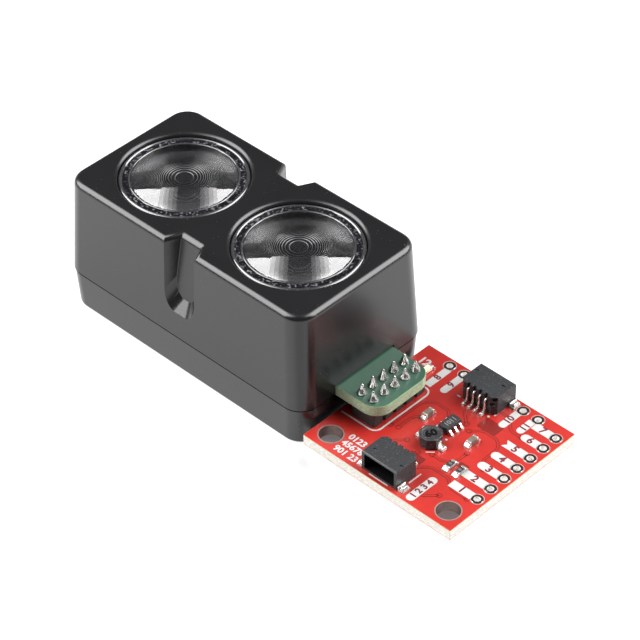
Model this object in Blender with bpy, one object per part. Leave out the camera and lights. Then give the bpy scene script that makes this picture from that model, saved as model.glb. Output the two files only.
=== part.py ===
"""Lidar scanner module: a two-lens optical housing on a main circuit board, with a breakout board.

The module lies on the flat back of its rear cover. The origin is the middle of that back face,
+Z points out of the lenses, and +X runs along the housing to the breakout board.
Lengths are in metres.
"""

import math

import bmesh
import bpy
from mathutils import Matrix, Vector

# ---------------------------------------------------------------- driving dimensions
# Clearances between pieces that touch
SEAT_GAP = 0.00005          # a piece and the face that it rests on
SHELL_GAP = 0.0001          # the two halves of the housing, and the sides of what they hold

# Front housing
HOUSING_HEIGHT = 0.0212     # back face of the cover to front face
SEAM_HEIGHT = 0.0061        # where the front housing meets the rear cover
END_RIM = 0.00176           # front face between a lens recess and the end of the housing
SIDE_RIM = 0.00191          # front face between a lens recess and the long side
WALL = 0.0015
FRONT_DRAFT = 0.0455        # lean of the side walls, per unit of height
CORNER_RADIUS = 0.0029
FRONT_EDGE_RADIUS = 0.0008
SEAM_CHAMFER = 0.00015

# Lenses and their recesses
LENS_RADIUS = 0.00885
LENS_CLEARANCE = 0.0001
LENS_BRIDGE = 0.0025        # front face between the two recesses
LENS_THICKNESS = 0.0016
LENS_SET_BACK = 0.00035     # front face of a lens below that of the housing
LENS_RIM_WIDTH = 0.0012     # plain band round the grooves
LENS_RIM_CHAMFER = 0.00015
RECESS_CHAMFER = 0.00045
SEAT_WIDTH = 0.0008         # ledge that a lens sits on
SEAT_LEDGE = 0.0006         # thickness of that ledge
ZONE_DEPTH = 0.00025        # depth of one groove of a lens
ZONE_CURVATURE = 75.0       # slope of a groove face for each metre from the axis

# Grip notch in the middle of each long side
NOTCH_MOUTH_WIDTH = 0.0056
NOTCH_BACK_WIDTH = 0.0034
NOTCH_DEPTH = 0.0022
NOTCH_LEAN = 0.146          # the back wall comes outwards, per unit of height
NOTCH_FOOT_HEIGHT = 0.0102  # lowest point, on the outside
NOTCH_RAMP = math.radians(52)
NOTCH_FOOT_RADIUS = 0.0011
NOTCH_WALL = 0.0011

# Rear cover
COVER_INSET = 0.0001
COVER_DRAFT = 0.05
COVER_EDGE_RADIUS = 0.0009
COVER_FLOOR = 0.0015
SPIGOT_HEIGHT = 0.0014
SPIGOT_WALL = 0.0008
POST_RADIUS = 0.0013
POST_INSET = 0.0016         # edge of the main board to the middle of a post

# Main board, with the tab that carries the header
BOARD_THICKNESS = 0.0016
BOARD_BELOW_SEAM = 0.0005
TAB_SIDE_MARGIN = 0.00035   # side of the header to the side of the tab
TAB_END_MARGIN = 0.0010     # free end of the header to the end of the tab
TAB_ROOT = 0.0022           # end of the housing to the header
TAB_CORNER_RADIUS = 0.0025
SLOT_CLEARANCE = 0.00025

# Optics behind the lenses
BARREL_WALL = 0.0007
BARREL_FOOT_WIDTH = 0.0012
RECEIVE_THROAT_RADIUS = 0.0022
EMITTER_WIDTH = 0.0035
EMITTER_HEIGHT = 0.0009
EMITTER_CLEARANCE = 0.0005  # corner of the emitter to the barrel
EMITTER_DOME_RADIUS = 0.0013
SHIELD_CLEARANCE = 0.0004   # wall of the metal can to the amplifier
SHIELD_HEIGHT = 0.0022
SHIELD_METAL = 0.0002
SHIELD_WINDOW_RADIUS = 0.0016
PHOTODIODE_SIZE = (0.0032, 0.0028, 0.0010)
AMPLIFIER_SIZE = (0.0030, 0.0030, 0.0008)
AMPLIFIER_STEP = 0.0005     # between the photodiode and the amplifier

# Chips elsewhere on the main board
PROCESSOR_SIZE = (0.0070, 0.0070, 0.0009)
CRYSTAL_SIZE = (0.0032, 0.0015, 0.0008)
ANTENNA_SIZE = (0.0016, 0.0032, 0.0012)
DRIVER_SIZE = (0.0030, 0.0030, 0.0009)
STORAGE_SIZE = (0.0025, 0.0032, 0.0025)
CHIP_SPACING = 0.0012
CHIP_EDGE = 0.00008         # eased edge of a chip

# Two-row header that joins the two boards
PIN_PITCH = 0.0020
PINS_PER_ROW = 5
PIN_RADIUS = 0.00027
PIN_HOLE_CLEARANCE = 0.0001
HEADER_HEIGHT = 0.0020
SOLDER_RADIUS = 0.00072
SOLDER_HEIGHT = 0.0009
PIN_TAIL = 0.0015           # tip above the tab
PIN_STUB = 0.0010           # tip below the breakout board

# Breakout board
BREAKOUT_LENGTH = 0.0254
BREAKOUT_OVERHANG = 0.000068    # each long side, past the side of the housing
BREAKOUT_THICKNESS = 0.0016
BREAKOUT_GAP = 0.00035      # to the end of the housing
MOUNT_HOLE_RADIUS = 0.00165
MOUNT_HOLE_INSET = 0.00254
WIRE_HOLE_RADIUS = 0.00051
WIRE_PITCH = 0.00254
WIRE_EDGE = 0.00127         # row of wire holes to the edge of the board
END_ROW_HOLES = 7
END_ROW_Y = 0.0021          # middle of the end row
SIDE_ROW_OFFSETS = (0.00490, 0.00744, 0.01768, 0.02022)   # along the far side, from the housing end

# Cable sockets, one at each side of the breakout board
SOCKET_END = 0.0015         # outer contact to the end of the socket
SOCKET_DEPTH = 0.00425
SOCKET_HEIGHT = 0.00295
NEAR_SOCKET_EDGE = 0.0007   # mouth to the edge of the board
FAR_SOCKET_EDGE = 0.0005
SOCKET_WALL = 0.00045
SOCKET_FLOOR = 0.0006
SOCKET_BACK_WALL = 0.00125
CONTACT_PITCH = 0.0010
CONTACTS_PER_SOCKET = 4
CONTACT_WIDTH = 0.00028
CONTACT_METAL = 0.0002
CONTACT_DROP = 0.0002       # ceiling of the socket's room to the contact
CONTACT_KNEE = 0.0009       # where it starts to lean out
CONTACT_LEAN = 0.0003
CONTACT_FOOT = 0.0005
CONTACT_BLADE = 0.0020
CONTACT_CLEARANCE = 0.00006
ANCHOR_WIDTH = 0.0017
ANCHOR_FOOT = 0.0008
ANCHOR_HEIGHT = 0.0011
ANCHOR_METAL = 0.00025
ANCHOR_INSET = 0.0001       # from the mouth

# Parts soldered to the breakout board
CONVERTER_BODY = (0.0016, 0.0029, 0.0011)
CONVERTER_PLACE = (0.01285, 0.0019)          # from the housing end of the board, and from its middle line
LEAD_PITCH = 0.00095
LEAD_WIDTH = 0.0004
LEAD_METAL = 0.00015
LEAD_REACH = 0.0006
INDUCTOR_WIDTH = 0.0030
INDUCTOR_HEIGHT = 0.0016
INDUCTOR_PLACE = (0.01290, -0.0018)
INDUCTOR_TERMINAL = (0.0008, 0.0013, 0.0004)
CHIP_LENGTH = 0.0016
CHIP_WIDTH = 0.0008
CHIP_SOLDER = 0.0004        # reach of the solder wedge
CHIP_SOLDER_DROP = 0.0001   # top of the wedge below the top of the part
CAPACITOR_HEIGHT = 0.0008
RESISTOR_HEIGHT = 0.00045
CAPACITOR_PLACES = ((0.00930, 0.00165), (0.01690, 0.00165))
RESISTOR_PLACES = ((0.01770, -0.00340), (0.01935, -0.00340))
LED_X = 0.0034              # from the housing end of the board
LED_EDGE = 0.004065         # from the far side
LED_HEIGHT = 0.0006

# Facets of round shapes, and steps round a bevel
FINE = 48
MEDIUM = 24
COARSE = 12
PIN_FACETS = 8
INDUCTOR_SIDES = 8
CORNER_STEPS = 6
FOOT_STEPS = 4
EDGE_STEPS = 3
INNER_STEPS = 2
DOME_STEPS = 5
SMOOTH_ANGLE = math.radians(32)

# ---------------------------------------------------------------- sizes that follow
RECESS_RADIUS = LENS_RADIUS + LENS_CLEARANCE
RECESS_MOUTH_RADIUS = RECESS_RADIUS + RECESS_CHAMFER
LENS_X = RECESS_MOUTH_RADIUS + LENS_BRIDGE / 2
LENS_FACE_Z = HOUSING_HEIGHT - LENS_SET_BACK
LENS_BACK_Z = LENS_FACE_Z - LENS_THICKNESS
SEAT_Z = LENS_BACK_Z - SEAT_GAP
APERTURE_RADIUS = RECESS_RADIUS - SEAT_WIDTH
CEILING_Z = SEAT_Z - SEAT_LEDGE

TOP_HALF_LENGTH = LENS_X + RECESS_MOUTH_RADIUS + END_RIM
TOP_HALF_WIDTH = RECESS_MOUTH_RADIUS + SIDE_RIM
SEAM_HALF_LENGTH = TOP_HALF_LENGTH + FRONT_DRAFT * (HOUSING_HEIGHT - SEAM_HEIGHT)
SEAM_HALF_WIDTH = TOP_HALF_WIDTH + FRONT_DRAFT * (HOUSING_HEIGHT - SEAM_HEIGHT)
SPIGOT_HALF_LENGTH = SEAM_HALF_LENGTH - WALL - FRONT_DRAFT * SPIGOT_HEIGHT - SHELL_GAP
SPIGOT_HALF_WIDTH = SEAM_HALF_WIDTH - WALL - FRONT_DRAFT * SPIGOT_HEIGHT - SHELL_GAP

SPIGOT_RADIUS = CORNER_RADIUS - WALL
INNER_RADIUS = max(SPIGOT_RADIUS - SPIGOT_WALL, SPIGOT_WALL / 2)
SPIGOT_TOP_Z = SEAM_HEIGHT + SPIGOT_HEIGHT

BOARD_BACK_Z = SEAM_HEIGHT - BOARD_BELOW_SEAM
BOARD_FRONT_Z = BOARD_BACK_Z + BOARD_THICKNESS
BOARD_HALF_LENGTH = SPIGOT_HALF_LENGTH - SPIGOT_WALL - SHELL_GAP
BOARD_HALF_WIDTH = SPIGOT_HALF_WIDTH - SPIGOT_WALL - SHELL_GAP
BOSS_FOOT_Z = max(SPIGOT_TOP_Z, BOARD_FRONT_Z) + SHELL_GAP

HEADER_LENGTH = 2 * PIN_PITCH
HEADER_WIDTH = PINS_PER_ROW * PIN_PITCH
HEADER_X = SEAM_HALF_LENGTH + TAB_ROOT + HEADER_LENGTH / 2
TAB_END_X = HEADER_X + HEADER_LENGTH / 2 + TAB_END_MARGIN
TAB_WIDTH = HEADER_WIDTH + 2 * TAB_SIDE_MARGIN
HEADER_TOP_Z = BOARD_BACK_Z - SEAT_GAP
HEADER_BACK_Z = HEADER_TOP_Z - HEADER_HEIGHT
PIN_HOLE_RADIUS = PIN_RADIUS + PIN_HOLE_CLEARANCE

BREAKOUT_FRONT_Z = HEADER_BACK_Z - SEAT_GAP
BREAKOUT_BACK_Z = BREAKOUT_FRONT_Z - BREAKOUT_THICKNESS
BREAKOUT_START_X = SEAM_HALF_LENGTH + BREAKOUT_GAP
BREAKOUT_END_X = BREAKOUT_START_X + BREAKOUT_LENGTH
BREAKOUT_WIDTH = 2 * (SEAM_HALF_WIDTH + BREAKOUT_OVERHANG)
PART_Z = BREAKOUT_FRONT_Z + SEAT_GAP
SOCKET_X = BREAKOUT_START_X + BREAKOUT_LENGTH / 2
SOCKET_WIDTH = (CONTACTS_PER_SOCKET - 1) * CONTACT_PITCH + 2 * SOCKET_END
SOCKET_CAVITY_DEPTH = SOCKET_DEPTH - SOCKET_BACK_WALL
CONTACT_TOP_Z = PART_Z + SOCKET_HEIGHT - SOCKET_WALL - CONTACT_DROP

TRANSMIT_THROAT_RADIUS = EMITTER_WIDTH / math.sqrt(2) + EMITTER_CLEARANCE
SHIELD_HALF_WIDTH = (PHOTODIODE_SIZE[1] / 2 + AMPLIFIER_STEP + AMPLIFIER_SIZE[1] + SHIELD_CLEARANCE
                     + SHIELD_METAL)


# ---------------------------------------------------------------- shared tools
def clear_scene():
    for old in list(bpy.data.objects):
        bpy.data.objects.remove(old, do_unlink=True)


def finish(name, colour, roughness, metallic=0.0):
    """A material of its own for one piece."""
    material = bpy.data.materials.new(name + "_finish")
    material.use_nodes = True
    shader = material.node_tree.nodes["Principled BSDF"]
    shader.inputs["Base Color"].default_value = (*colour, 1.0)
    shader.inputs["Roughness"].default_value = roughness
    shader.inputs["Metallic"].default_value = metallic
    return material


BLACK_PLASTIC = ((0.018, 0.018, 0.020), 0.38, 0.0)
MATTE_BLACK = ((0.012, 0.012, 0.012), 0.75, 0.0)
CHIP_BLACK = ((0.02, 0.02, 0.022), 0.5, 0.0)
CLEAR_PLASTIC = ((0.75, 0.77, 0.80), 0.05, 0.0)
GREEN_BOARD = ((0.02, 0.13, 0.06), 0.35, 0.0)
RED_BOARD = ((0.55, 0.02, 0.02), 0.35, 0.0)
BRIGHT_METAL = ((0.80, 0.80, 0.80), 0.22, 1.0)
CERAMIC = ((0.55, 0.42, 0.30), 0.45, 0.0)
FERRITE = ((0.04, 0.04, 0.045), 0.55, 0.0)
LED_LENS = ((0.9, 0.85, 0.6), 0.25, 0.0)


def add_piece(name, bm, look, location=(0.0, 0.0, 0.0)):
    """Turn a bmesh into a named object with its own material."""
    bmesh.ops.recalc_face_normals(bm, faces=bm.faces)
    mesh = bpy.data.meshes.new(name)
    bm.to_mesh(mesh)
    bm.free()
    mesh.materials.append(finish(name, *look))
    piece = bpy.data.objects.new(name, mesh)
    piece.location = location
    bpy.context.collection.objects.link(piece)
    shade(mesh)
    return piece


def shade(mesh):
    mesh.shade_smooth()
    mesh.set_sharp_from_angle(angle=SMOOTH_ANGLE)


def add_cutter(name, bm):
    """A guide that only cuts or joins, left out of the model itself."""
    bmesh.ops.recalc_face_normals(bm, faces=bm.faces)
    mesh = bpy.data.meshes.new(name)
    bm.to_mesh(mesh)
    bm.free()
    cutter = bpy.data.objects.new(name, mesh)
    cutter.hide_render = True
    cutter.display_type = 'WIRE'
    bpy.context.collection.objects.link(cutter)
    return cutter


def combine(piece, other, operation='DIFFERENCE'):
    modifier = piece.modifiers.new(other.name, 'BOOLEAN')
    modifier.operation = operation
    modifier.solver = 'EXACT'
    modifier.object = other


def bake(piece):
    """Give a piece the mesh that its modifiers make, so that its new edges can be bevelled."""
    graph = bpy.context.evaluated_depsgraph_get()
    mesh = bpy.data.meshes.new_from_object(piece.evaluated_get(graph))
    piece.modifiers.clear()
    piece.data = mesh
    return mesh


def box(bm, low, high):
    """Add a box between two corners and return its vertices."""
    made = bmesh.ops.create_cube(bm, size=1.0)["verts"]
    centre = (Vector(low) + Vector(high)) / 2
    size = Vector(high) - Vector(low)
    bmesh.ops.transform(bm, matrix=Matrix.Translation(centre) @ Matrix.Diagonal((*size, 1.0)), verts=made)
    return made


def middle_box(bm, centre, size, base_z, up=1):
    """Add a box by its middle in plan, its size, and the level that it stands on or hangs from."""
    x, y = centre
    low_z, high_z = sorted((base_z, base_z + up * size[2]))
    return box(bm, (x - size[0] / 2, y - size[1] / 2, low_z), (x + size[0] / 2, y + size[1] / 2, high_z))


def cylinder(bm, centre, radius, low_z, high_z, segments):
    place = Matrix.Translation((centre[0], centre[1], (low_z + high_z) / 2))
    made = bmesh.ops.create_cone(bm, cap_ends=True, segments=segments, radius1=radius, radius2=radius,
                                 depth=high_z - low_z, matrix=place)
    return made["verts"]


def turned(bm, profile, centre, segments):
    """Spin an open profile of (radius, z) points, with both ends on the axis or closed on itself."""
    closed = profile[0][0] > 0
    points = [Vector((centre[0] + r, centre[1], z)) for r, z in profile]
    verts = [bm.verts.new(p) for p in points]
    edges = [bm.edges.new(pair) for pair in zip(verts, verts[1:])]
    if closed:
        edges.append(bm.edges.new((verts[-1], verts[0])))
    bmesh.ops.spin(bm, geom=verts + edges, cent=(*centre, 0.0), axis=(0, 0, 1), angle=math.tau,
                   steps=segments, use_duplicate=False)
    bmesh.ops.remove_doubles(bm, verts=bm.verts, dist=1e-6)


def prism(bm, outline, low_z, high_z):
    """Extrude a closed outline of (x, y) points upwards."""
    sweep(bm, [(x, y, low_z) for x, y in outline], (0, 0, high_z - low_z))


def sweep(bm, outline, travel):
    """Drag a closed flat outline of points along a straight line."""
    face = bm.faces.new([bm.verts.new(point) for point in outline])
    made = bmesh.ops.extrude_face_region(bm, geom=[face])
    moved = [v for v in made["geom"] if isinstance(v, bmesh.types.BMVert)]
    bmesh.ops.translate(bm, verts=moved, vec=travel)


def edges_where(bm, test):
    return [edge for edge in bm.edges if test(*(vert.co for vert in edge.verts))]


def bevel(bm, edges, radius, segments):
    bmesh.ops.bevel(bm, geom=edges, offset=radius, offset_type='OFFSET', segments=segments,
                    profile=0.5, affect='EDGES', clamp_overlap=True)


def upright(a, b):
    return abs(a.z - b.z) > 0.6 * (a - b).length


def drafted_block(half_length, half_width, low_z, high_z, growth, radius, segments):
    """A block whose sides lean out by growth on the way up, with round upright corners."""
    bm = bmesh.new()
    verts = box(bm, (-half_length, -half_width, low_z), (half_length, half_width, high_z))
    for vert in verts:
        if vert.co.z > (low_z + high_z) / 2:
            vert.co.x += growth * math.copysign(1, vert.co.x)
            vert.co.y += growth * math.copysign(1, vert.co.y)
    bevel(bm, edges_where(bm, upright), radius, segments)
    return bm


def level(z, tolerance=1e-6):
    return lambda a, b: abs(a.z - z) < tolerance and abs(b.z - z) < tolerance


# ---------------------------------------------------------------- housing
def notch_cutter(side):
    """The grip notch of one long side: side is -1 for the near side, 1 for the far side."""
    def face_y(z):
        return TOP_HALF_WIDTH + FRONT_DRAFT * (HOUSING_HEIGHT - z)

    def back_y(z):
        return TOP_HALF_WIDTH - NOTCH_DEPTH + NOTCH_LEAN * (HOUSING_HEIGHT - z)

    flare = (NOTCH_MOUTH_WIDTH - NOTCH_BACK_WIDTH) / 2 / NOTCH_DEPTH
    reach = NOTCH_DEPTH
    top_z = HOUSING_HEIGHT + reach
    slope = math.tan(NOTCH_RAMP)
    shallow = NOTCH_LEAN - FRONT_DRAFT
    foot_depth = (NOTCH_DEPTH - shallow * (HOUSING_HEIGHT - NOTCH_FOOT_HEIGHT)) / (1 - shallow * slope)
    ramp_z = NOTCH_FOOT_HEIGHT + foot_depth * slope
    low_z = NOTCH_FOOT_HEIGHT - reach * slope

    def half_width(y, z):
        return NOTCH_MOUTH_WIDTH / 2 + (y - face_y(z)) * flare

    def ring(z, y_back, y_front):
        return [(-half_width(y_back, z), y_back, z), (half_width(y_back, z), y_back, z),
                (half_width(y_front, z), y_front, z), (-half_width(y_front, z), y_front, z)]

    bm = bmesh.new()
    levels = [ring(top_z, back_y(top_z), face_y(top_z) + reach),
              ring(ramp_z, back_y(ramp_z), face_y(ramp_z) + reach)]
    foot_y = face_y(low_z) + reach
    foot = [(-half_width(foot_y, low_z), foot_y, low_z), (half_width(foot_y, low_z), foot_y, low_z)]
    verts = [bm.verts.new((x, side * y, z)) for x, y, z in levels[0] + levels[1] + foot]
    a, b, c, d, e, f, g, h, i, j = verts
    for corners in ((a, b, c, d), (a, b, f, e), (b, c, g, f), (c, d, h, g), (d, a, e, h),
                    (e, f, j, i), (f, g, j), (e, h, i), (g, h, i, j)):
        bm.faces.new(corners)
    bmesh.ops.recalc_face_normals(bm, faces=bm.faces)
    foot_edges = [edge for edge in bm.edges if set(edge.verts) in ({e, i}, {f, j})]
    bevel(bm, foot_edges, NOTCH_FOOT_RADIUS, FOOT_STEPS)
    return add_cutter("notch_cutter", bm)


def notch_boss(side):
    """The wall that wraps round a notch on the inside, taken out of the cavity."""
    bm = bmesh.new()
    inner_y = TOP_HALF_WIDTH - NOTCH_DEPTH - NOTCH_WALL
    half_back = NOTCH_BACK_WIDTH / 2 + NOTCH_WALL
    half_mouth = NOTCH_MOUTH_WIDTH / 2 + NOTCH_WALL
    outer_y = SEAM_HALF_WIDTH
    outline = [(-half_back, inner_y), (half_back, inner_y), (half_mouth, outer_y), (-half_mouth, outer_y)]
    outline = [(x, side * y) for x, y in outline]
    prism(bm, outline, BOSS_FOOT_Z, HOUSING_HEIGHT)
    return add_cutter("notch_boss", bm)


def housing_cavity():
    """The room inside the front housing, open at the seam."""
    low_z = SEAM_HEIGHT - WALL
    half_length = SEAM_HALF_LENGTH - WALL + FRONT_DRAFT * (SEAM_HEIGHT - low_z)
    half_width = SEAM_HALF_WIDTH - WALL + FRONT_DRAFT * (SEAM_HEIGHT - low_z)
    shrink = -FRONT_DRAFT * (CEILING_Z - low_z)
    cavity = add_cutter("housing_cavity", drafted_block(half_length, half_width, low_z, CEILING_Z, shrink,
                                                        CORNER_RADIUS - WALL, EDGE_STEPS))
    for side in (-1, 1):
        combine(cavity, notch_boss(side))
    return cavity


def lens_recess(lens_x):
    """The stepped hole that one lens drops into from the front."""
    bm = bmesh.new()
    above = HOUSING_HEIGHT + RECESS_CHAMFER
    below = CEILING_Z - SEAT_LEDGE
    profile = [(0.0, above), (RECESS_MOUTH_RADIUS + RECESS_CHAMFER, above),
               (RECESS_RADIUS, HOUSING_HEIGHT - RECESS_CHAMFER), (RECESS_RADIUS, SEAT_Z),
               (APERTURE_RADIUS, SEAT_Z), (APERTURE_RADIUS, below), (0.0, below)]
    turned(bm, profile, (lens_x, 0.0), FINE)
    return add_cutter("lens_recess", bm)


def tab_slot(top_z):
    """The slot, up to a level, that lets the tab of the main board out of a shell."""
    bm = bmesh.new()
    half_width = TAB_WIDTH / 2 + SLOT_CLEARANCE
    low = (BOARD_HALF_LENGTH - SPIGOT_WALL, -half_width, BOARD_BACK_Z - SLOT_CLEARANCE)
    high = (TAB_END_X, half_width, top_z)
    box(bm, low, high)
    return add_cutter("tab_slot", bm)


def front_housing():
    bm = drafted_block(SEAM_HALF_LENGTH, SEAM_HALF_WIDTH, SEAM_HEIGHT, HOUSING_HEIGHT,
                       TOP_HALF_LENGTH - SEAM_HALF_LENGTH, CORNER_RADIUS, CORNER_STEPS)
    bevel(bm, edges_where(bm, level(SEAM_HEIGHT)), SEAM_CHAMFER, 1)
    shell = add_piece("front_housing", bm, BLACK_PLASTIC)
    for side in (-1, 1):
        combine(shell, notch_cutter(side))
    mesh = bake(shell)
    bm = bmesh.new()
    bm.from_mesh(mesh)
    bevel(bm, edges_where(bm, level(HOUSING_HEIGHT)), FRONT_EDGE_RADIUS, EDGE_STEPS)
    bm.to_mesh(mesh)
    bm.free()
    shade(mesh)
    combine(shell, housing_cavity())
    for lens_x in (-LENS_X, LENS_X):
        combine(shell, lens_recess(lens_x))
    combine(shell, tab_slot(BOARD_FRONT_Z + SLOT_CLEARANCE))


def rear_cover():
    """A tray with a raised spigot that enters the front housing, and posts under the main board."""
    half_length = SEAM_HALF_LENGTH - COVER_INSET - COVER_DRAFT * SEAM_HEIGHT
    half_width = SEAM_HALF_WIDTH - COVER_INSET - COVER_DRAFT * SEAM_HEIGHT
    top_z = SEAM_HEIGHT - SHELL_GAP
    bm = drafted_block(half_length, half_width, 0.0, top_z, COVER_DRAFT * top_z, CORNER_RADIUS, CORNER_STEPS)
    bevel(bm, edges_where(bm, level(0.0)), COVER_EDGE_RADIUS, FOOT_STEPS)
    cover = add_piece("rear_cover", bm, BLACK_PLASTIC)

    spigot = drafted_block(SPIGOT_HALF_LENGTH, SPIGOT_HALF_WIDTH, top_z - WALL, SPIGOT_TOP_Z, 0.0,
                           SPIGOT_RADIUS, EDGE_STEPS)
    combine(cover, add_cutter("cover_spigot", spigot), 'UNION')
    cavity = drafted_block(SPIGOT_HALF_LENGTH - SPIGOT_WALL, SPIGOT_HALF_WIDTH - SPIGOT_WALL, COVER_FLOOR,
                           HOUSING_HEIGHT, 0.0, INNER_RADIUS, INNER_STEPS)
    combine(cover, add_cutter("cover_cavity", cavity))
    for x in (-1, 1):
        for y in (-1, 1):
            post = bmesh.new()
            centre = (x * (BOARD_HALF_LENGTH - POST_INSET), y * (BOARD_HALF_WIDTH - POST_INSET))
            cylinder(post, centre, POST_RADIUS, COVER_FLOOR / 2, BOARD_BACK_Z - SEAT_GAP, COARSE)
            combine(cover, add_cutter("cover_post", post), 'UNION')
    combine(cover, tab_slot(SPIGOT_TOP_Z + SLOT_CLEARANCE))


# ---------------------------------------------------------------- optics
def lens(name, lens_x):
    """A clear disc with ring grooves of equal depth, which grow narrower towards its rim."""
    groove_radius = LENS_RADIUS - LENS_RIM_WIDTH
    rise = ZONE_CURVATURE / 2
    zones = int(rise * groove_radius ** 2 / ZONE_DEPTH)
    profile = [(0.0, LENS_FACE_Z)]
    for zone in range(1, zones + 1):
        radius = math.sqrt(zone * ZONE_DEPTH / rise)
        profile.append((radius, LENS_FACE_Z - ZONE_DEPTH))
        profile.append((radius, LENS_FACE_Z))
    last_depth = rise * groove_radius ** 2 - zones * ZONE_DEPTH
    profile.append((groove_radius, LENS_FACE_Z - last_depth))
    profile.append((groove_radius, LENS_FACE_Z))
    profile.append((LENS_RADIUS - LENS_RIM_CHAMFER, LENS_FACE_Z))
    profile.append((LENS_RADIUS, LENS_FACE_Z - LENS_RIM_CHAMFER))
    profile.append((LENS_RADIUS, LENS_BACK_Z))
    profile.append((0.0, LENS_BACK_Z))
    bm = bmesh.new()
    turned(bm, profile, (lens_x, 0.0), FINE)
    add_piece(name, bm, CLEAR_PLASTIC)


def barrel(name, lens_x, throat_radius, foot_z):
    """A black cone that keeps each lens's light apart, from the ceiling down to the board."""
    top_z = CEILING_Z - SEAT_GAP
    foot_top_z = foot_z + BARREL_WALL
    rim_z = top_z - BARREL_WALL
    profile = [(throat_radius, foot_z), (throat_radius + BARREL_FOOT_WIDTH, foot_z),
               (throat_radius + BARREL_FOOT_WIDTH, foot_top_z), (throat_radius + BARREL_WALL, foot_top_z),
               (APERTURE_RADIUS + BARREL_WALL, rim_z), (APERTURE_RADIUS + BARREL_WALL, top_z),
               (APERTURE_RADIUS, top_z), (APERTURE_RADIUS, rim_z), (throat_radius, foot_top_z)]
    bm = bmesh.new()
    turned(bm, profile, (lens_x, 0.0), MEDIUM)
    add_piece(name, bm, MATTE_BLACK)


def main_board():
    """The green board: as wide as the cover allows, with a round-cornered tab out of the +X end."""
    bm = bmesh.new()
    half_tab = TAB_WIDTH / 2
    outline = [(-BOARD_HALF_LENGTH, -BOARD_HALF_WIDTH), (BOARD_HALF_LENGTH, -BOARD_HALF_WIDTH),
               (BOARD_HALF_LENGTH, -half_tab), (TAB_END_X, -half_tab), (TAB_END_X, half_tab),
               (BOARD_HALF_LENGTH, half_tab), (BOARD_HALF_LENGTH, BOARD_HALF_WIDTH),
               (-BOARD_HALF_LENGTH, BOARD_HALF_WIDTH)]
    prism(bm, outline, BOARD_BACK_Z, BOARD_FRONT_Z)
    tab_corners = edges_where(bm, lambda a, b: upright(a, b) and abs(a.x - TAB_END_X) < 1e-6)
    bevel(bm, tab_corners, TAB_CORNER_RADIUS, CORNER_STEPS)
    board_corners = edges_where(bm, lambda a, b: upright(a, b) and abs(abs(a.y) - BOARD_HALF_WIDTH) < 1e-6)
    bevel(bm, board_corners, INNER_RADIUS, INNER_STEPS)
    board = add_piece("main_board", bm, GREEN_BOARD)
    combine(board, pin_holes(BOARD_BACK_Z, BOARD_FRONT_Z))


def emitter():
    bm = bmesh.new()
    base_z = BOARD_FRONT_Z + SEAT_GAP
    middle_box(bm, (-LENS_X, 0.0), (EMITTER_WIDTH, EMITTER_WIDTH, EMITTER_HEIGHT), base_z)
    piece = add_piece("emitter_led", bm, LED_LENS)
    dome = bmesh.new()
    top_z = base_z + EMITTER_HEIGHT
    arc = [math.pi / 2 * i / DOME_STEPS for i in range(DOME_STEPS + 1)]
    profile = [(0.0, top_z - EMITTER_HEIGHT / 2), (EMITTER_DOME_RADIUS, top_z - EMITTER_HEIGHT / 2)]
    profile += [(EMITTER_DOME_RADIUS * math.cos(a), top_z + EMITTER_DOME_RADIUS * math.sin(a)) for a in arc]
    profile[-1] = (0.0, top_z + EMITTER_DOME_RADIUS)
    turned(dome, profile, (-LENS_X, 0.0), MEDIUM)
    combine(piece, add_cutter("emitter_dome", dome), 'UNION')


def receiver():
    """Photodiode and amplifier under a metal can with a window."""
    base_z = BOARD_FRONT_Z + SEAT_GAP
    block("photodiode", (LENS_X, 0.0), PHOTODIODE_SIZE, base_z, CHIP_BLACK)
    amplifier_y = PHOTODIODE_SIZE[1] / 2 + AMPLIFIER_STEP + AMPLIFIER_SIZE[1] / 2
    block("amplifier_chip", (LENS_X, amplifier_y), AMPLIFIER_SIZE, base_z, CHIP_BLACK)

    outer = 2 * SHIELD_HALF_WIDTH
    inner = outer - 2 * SHIELD_METAL
    bm = bmesh.new()
    middle_box(bm, (LENS_X, 0.0), (outer, outer, SHIELD_HEIGHT), base_z)
    can = add_piece("receiver_shield", bm, BRIGHT_METAL)
    room = bmesh.new()
    middle_box(room, (LENS_X, 0.0), (inner, inner, SHIELD_HEIGHT), base_z - SHIELD_METAL)
    combine(can, add_cutter("shield_room", room))
    window = bmesh.new()
    cylinder(window, (LENS_X, 0.0), SHIELD_WINDOW_RADIUS, base_z + SHIELD_HEIGHT / 2,
             base_z + 2 * SHIELD_HEIGHT, MEDIUM)
    combine(can, add_cutter("shield_window", window))


def block(name, centre, size, base_z, look, up=1):
    """A chip: a block with its upper edges eased."""
    bm = bmesh.new()
    middle_box(bm, centre, size, base_z, up)
    top_z = base_z + up * size[2]
    bevel(bm, edges_where(bm, level(top_z)), CHIP_EDGE, 1)
    add_piece(name, bm, look)


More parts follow.
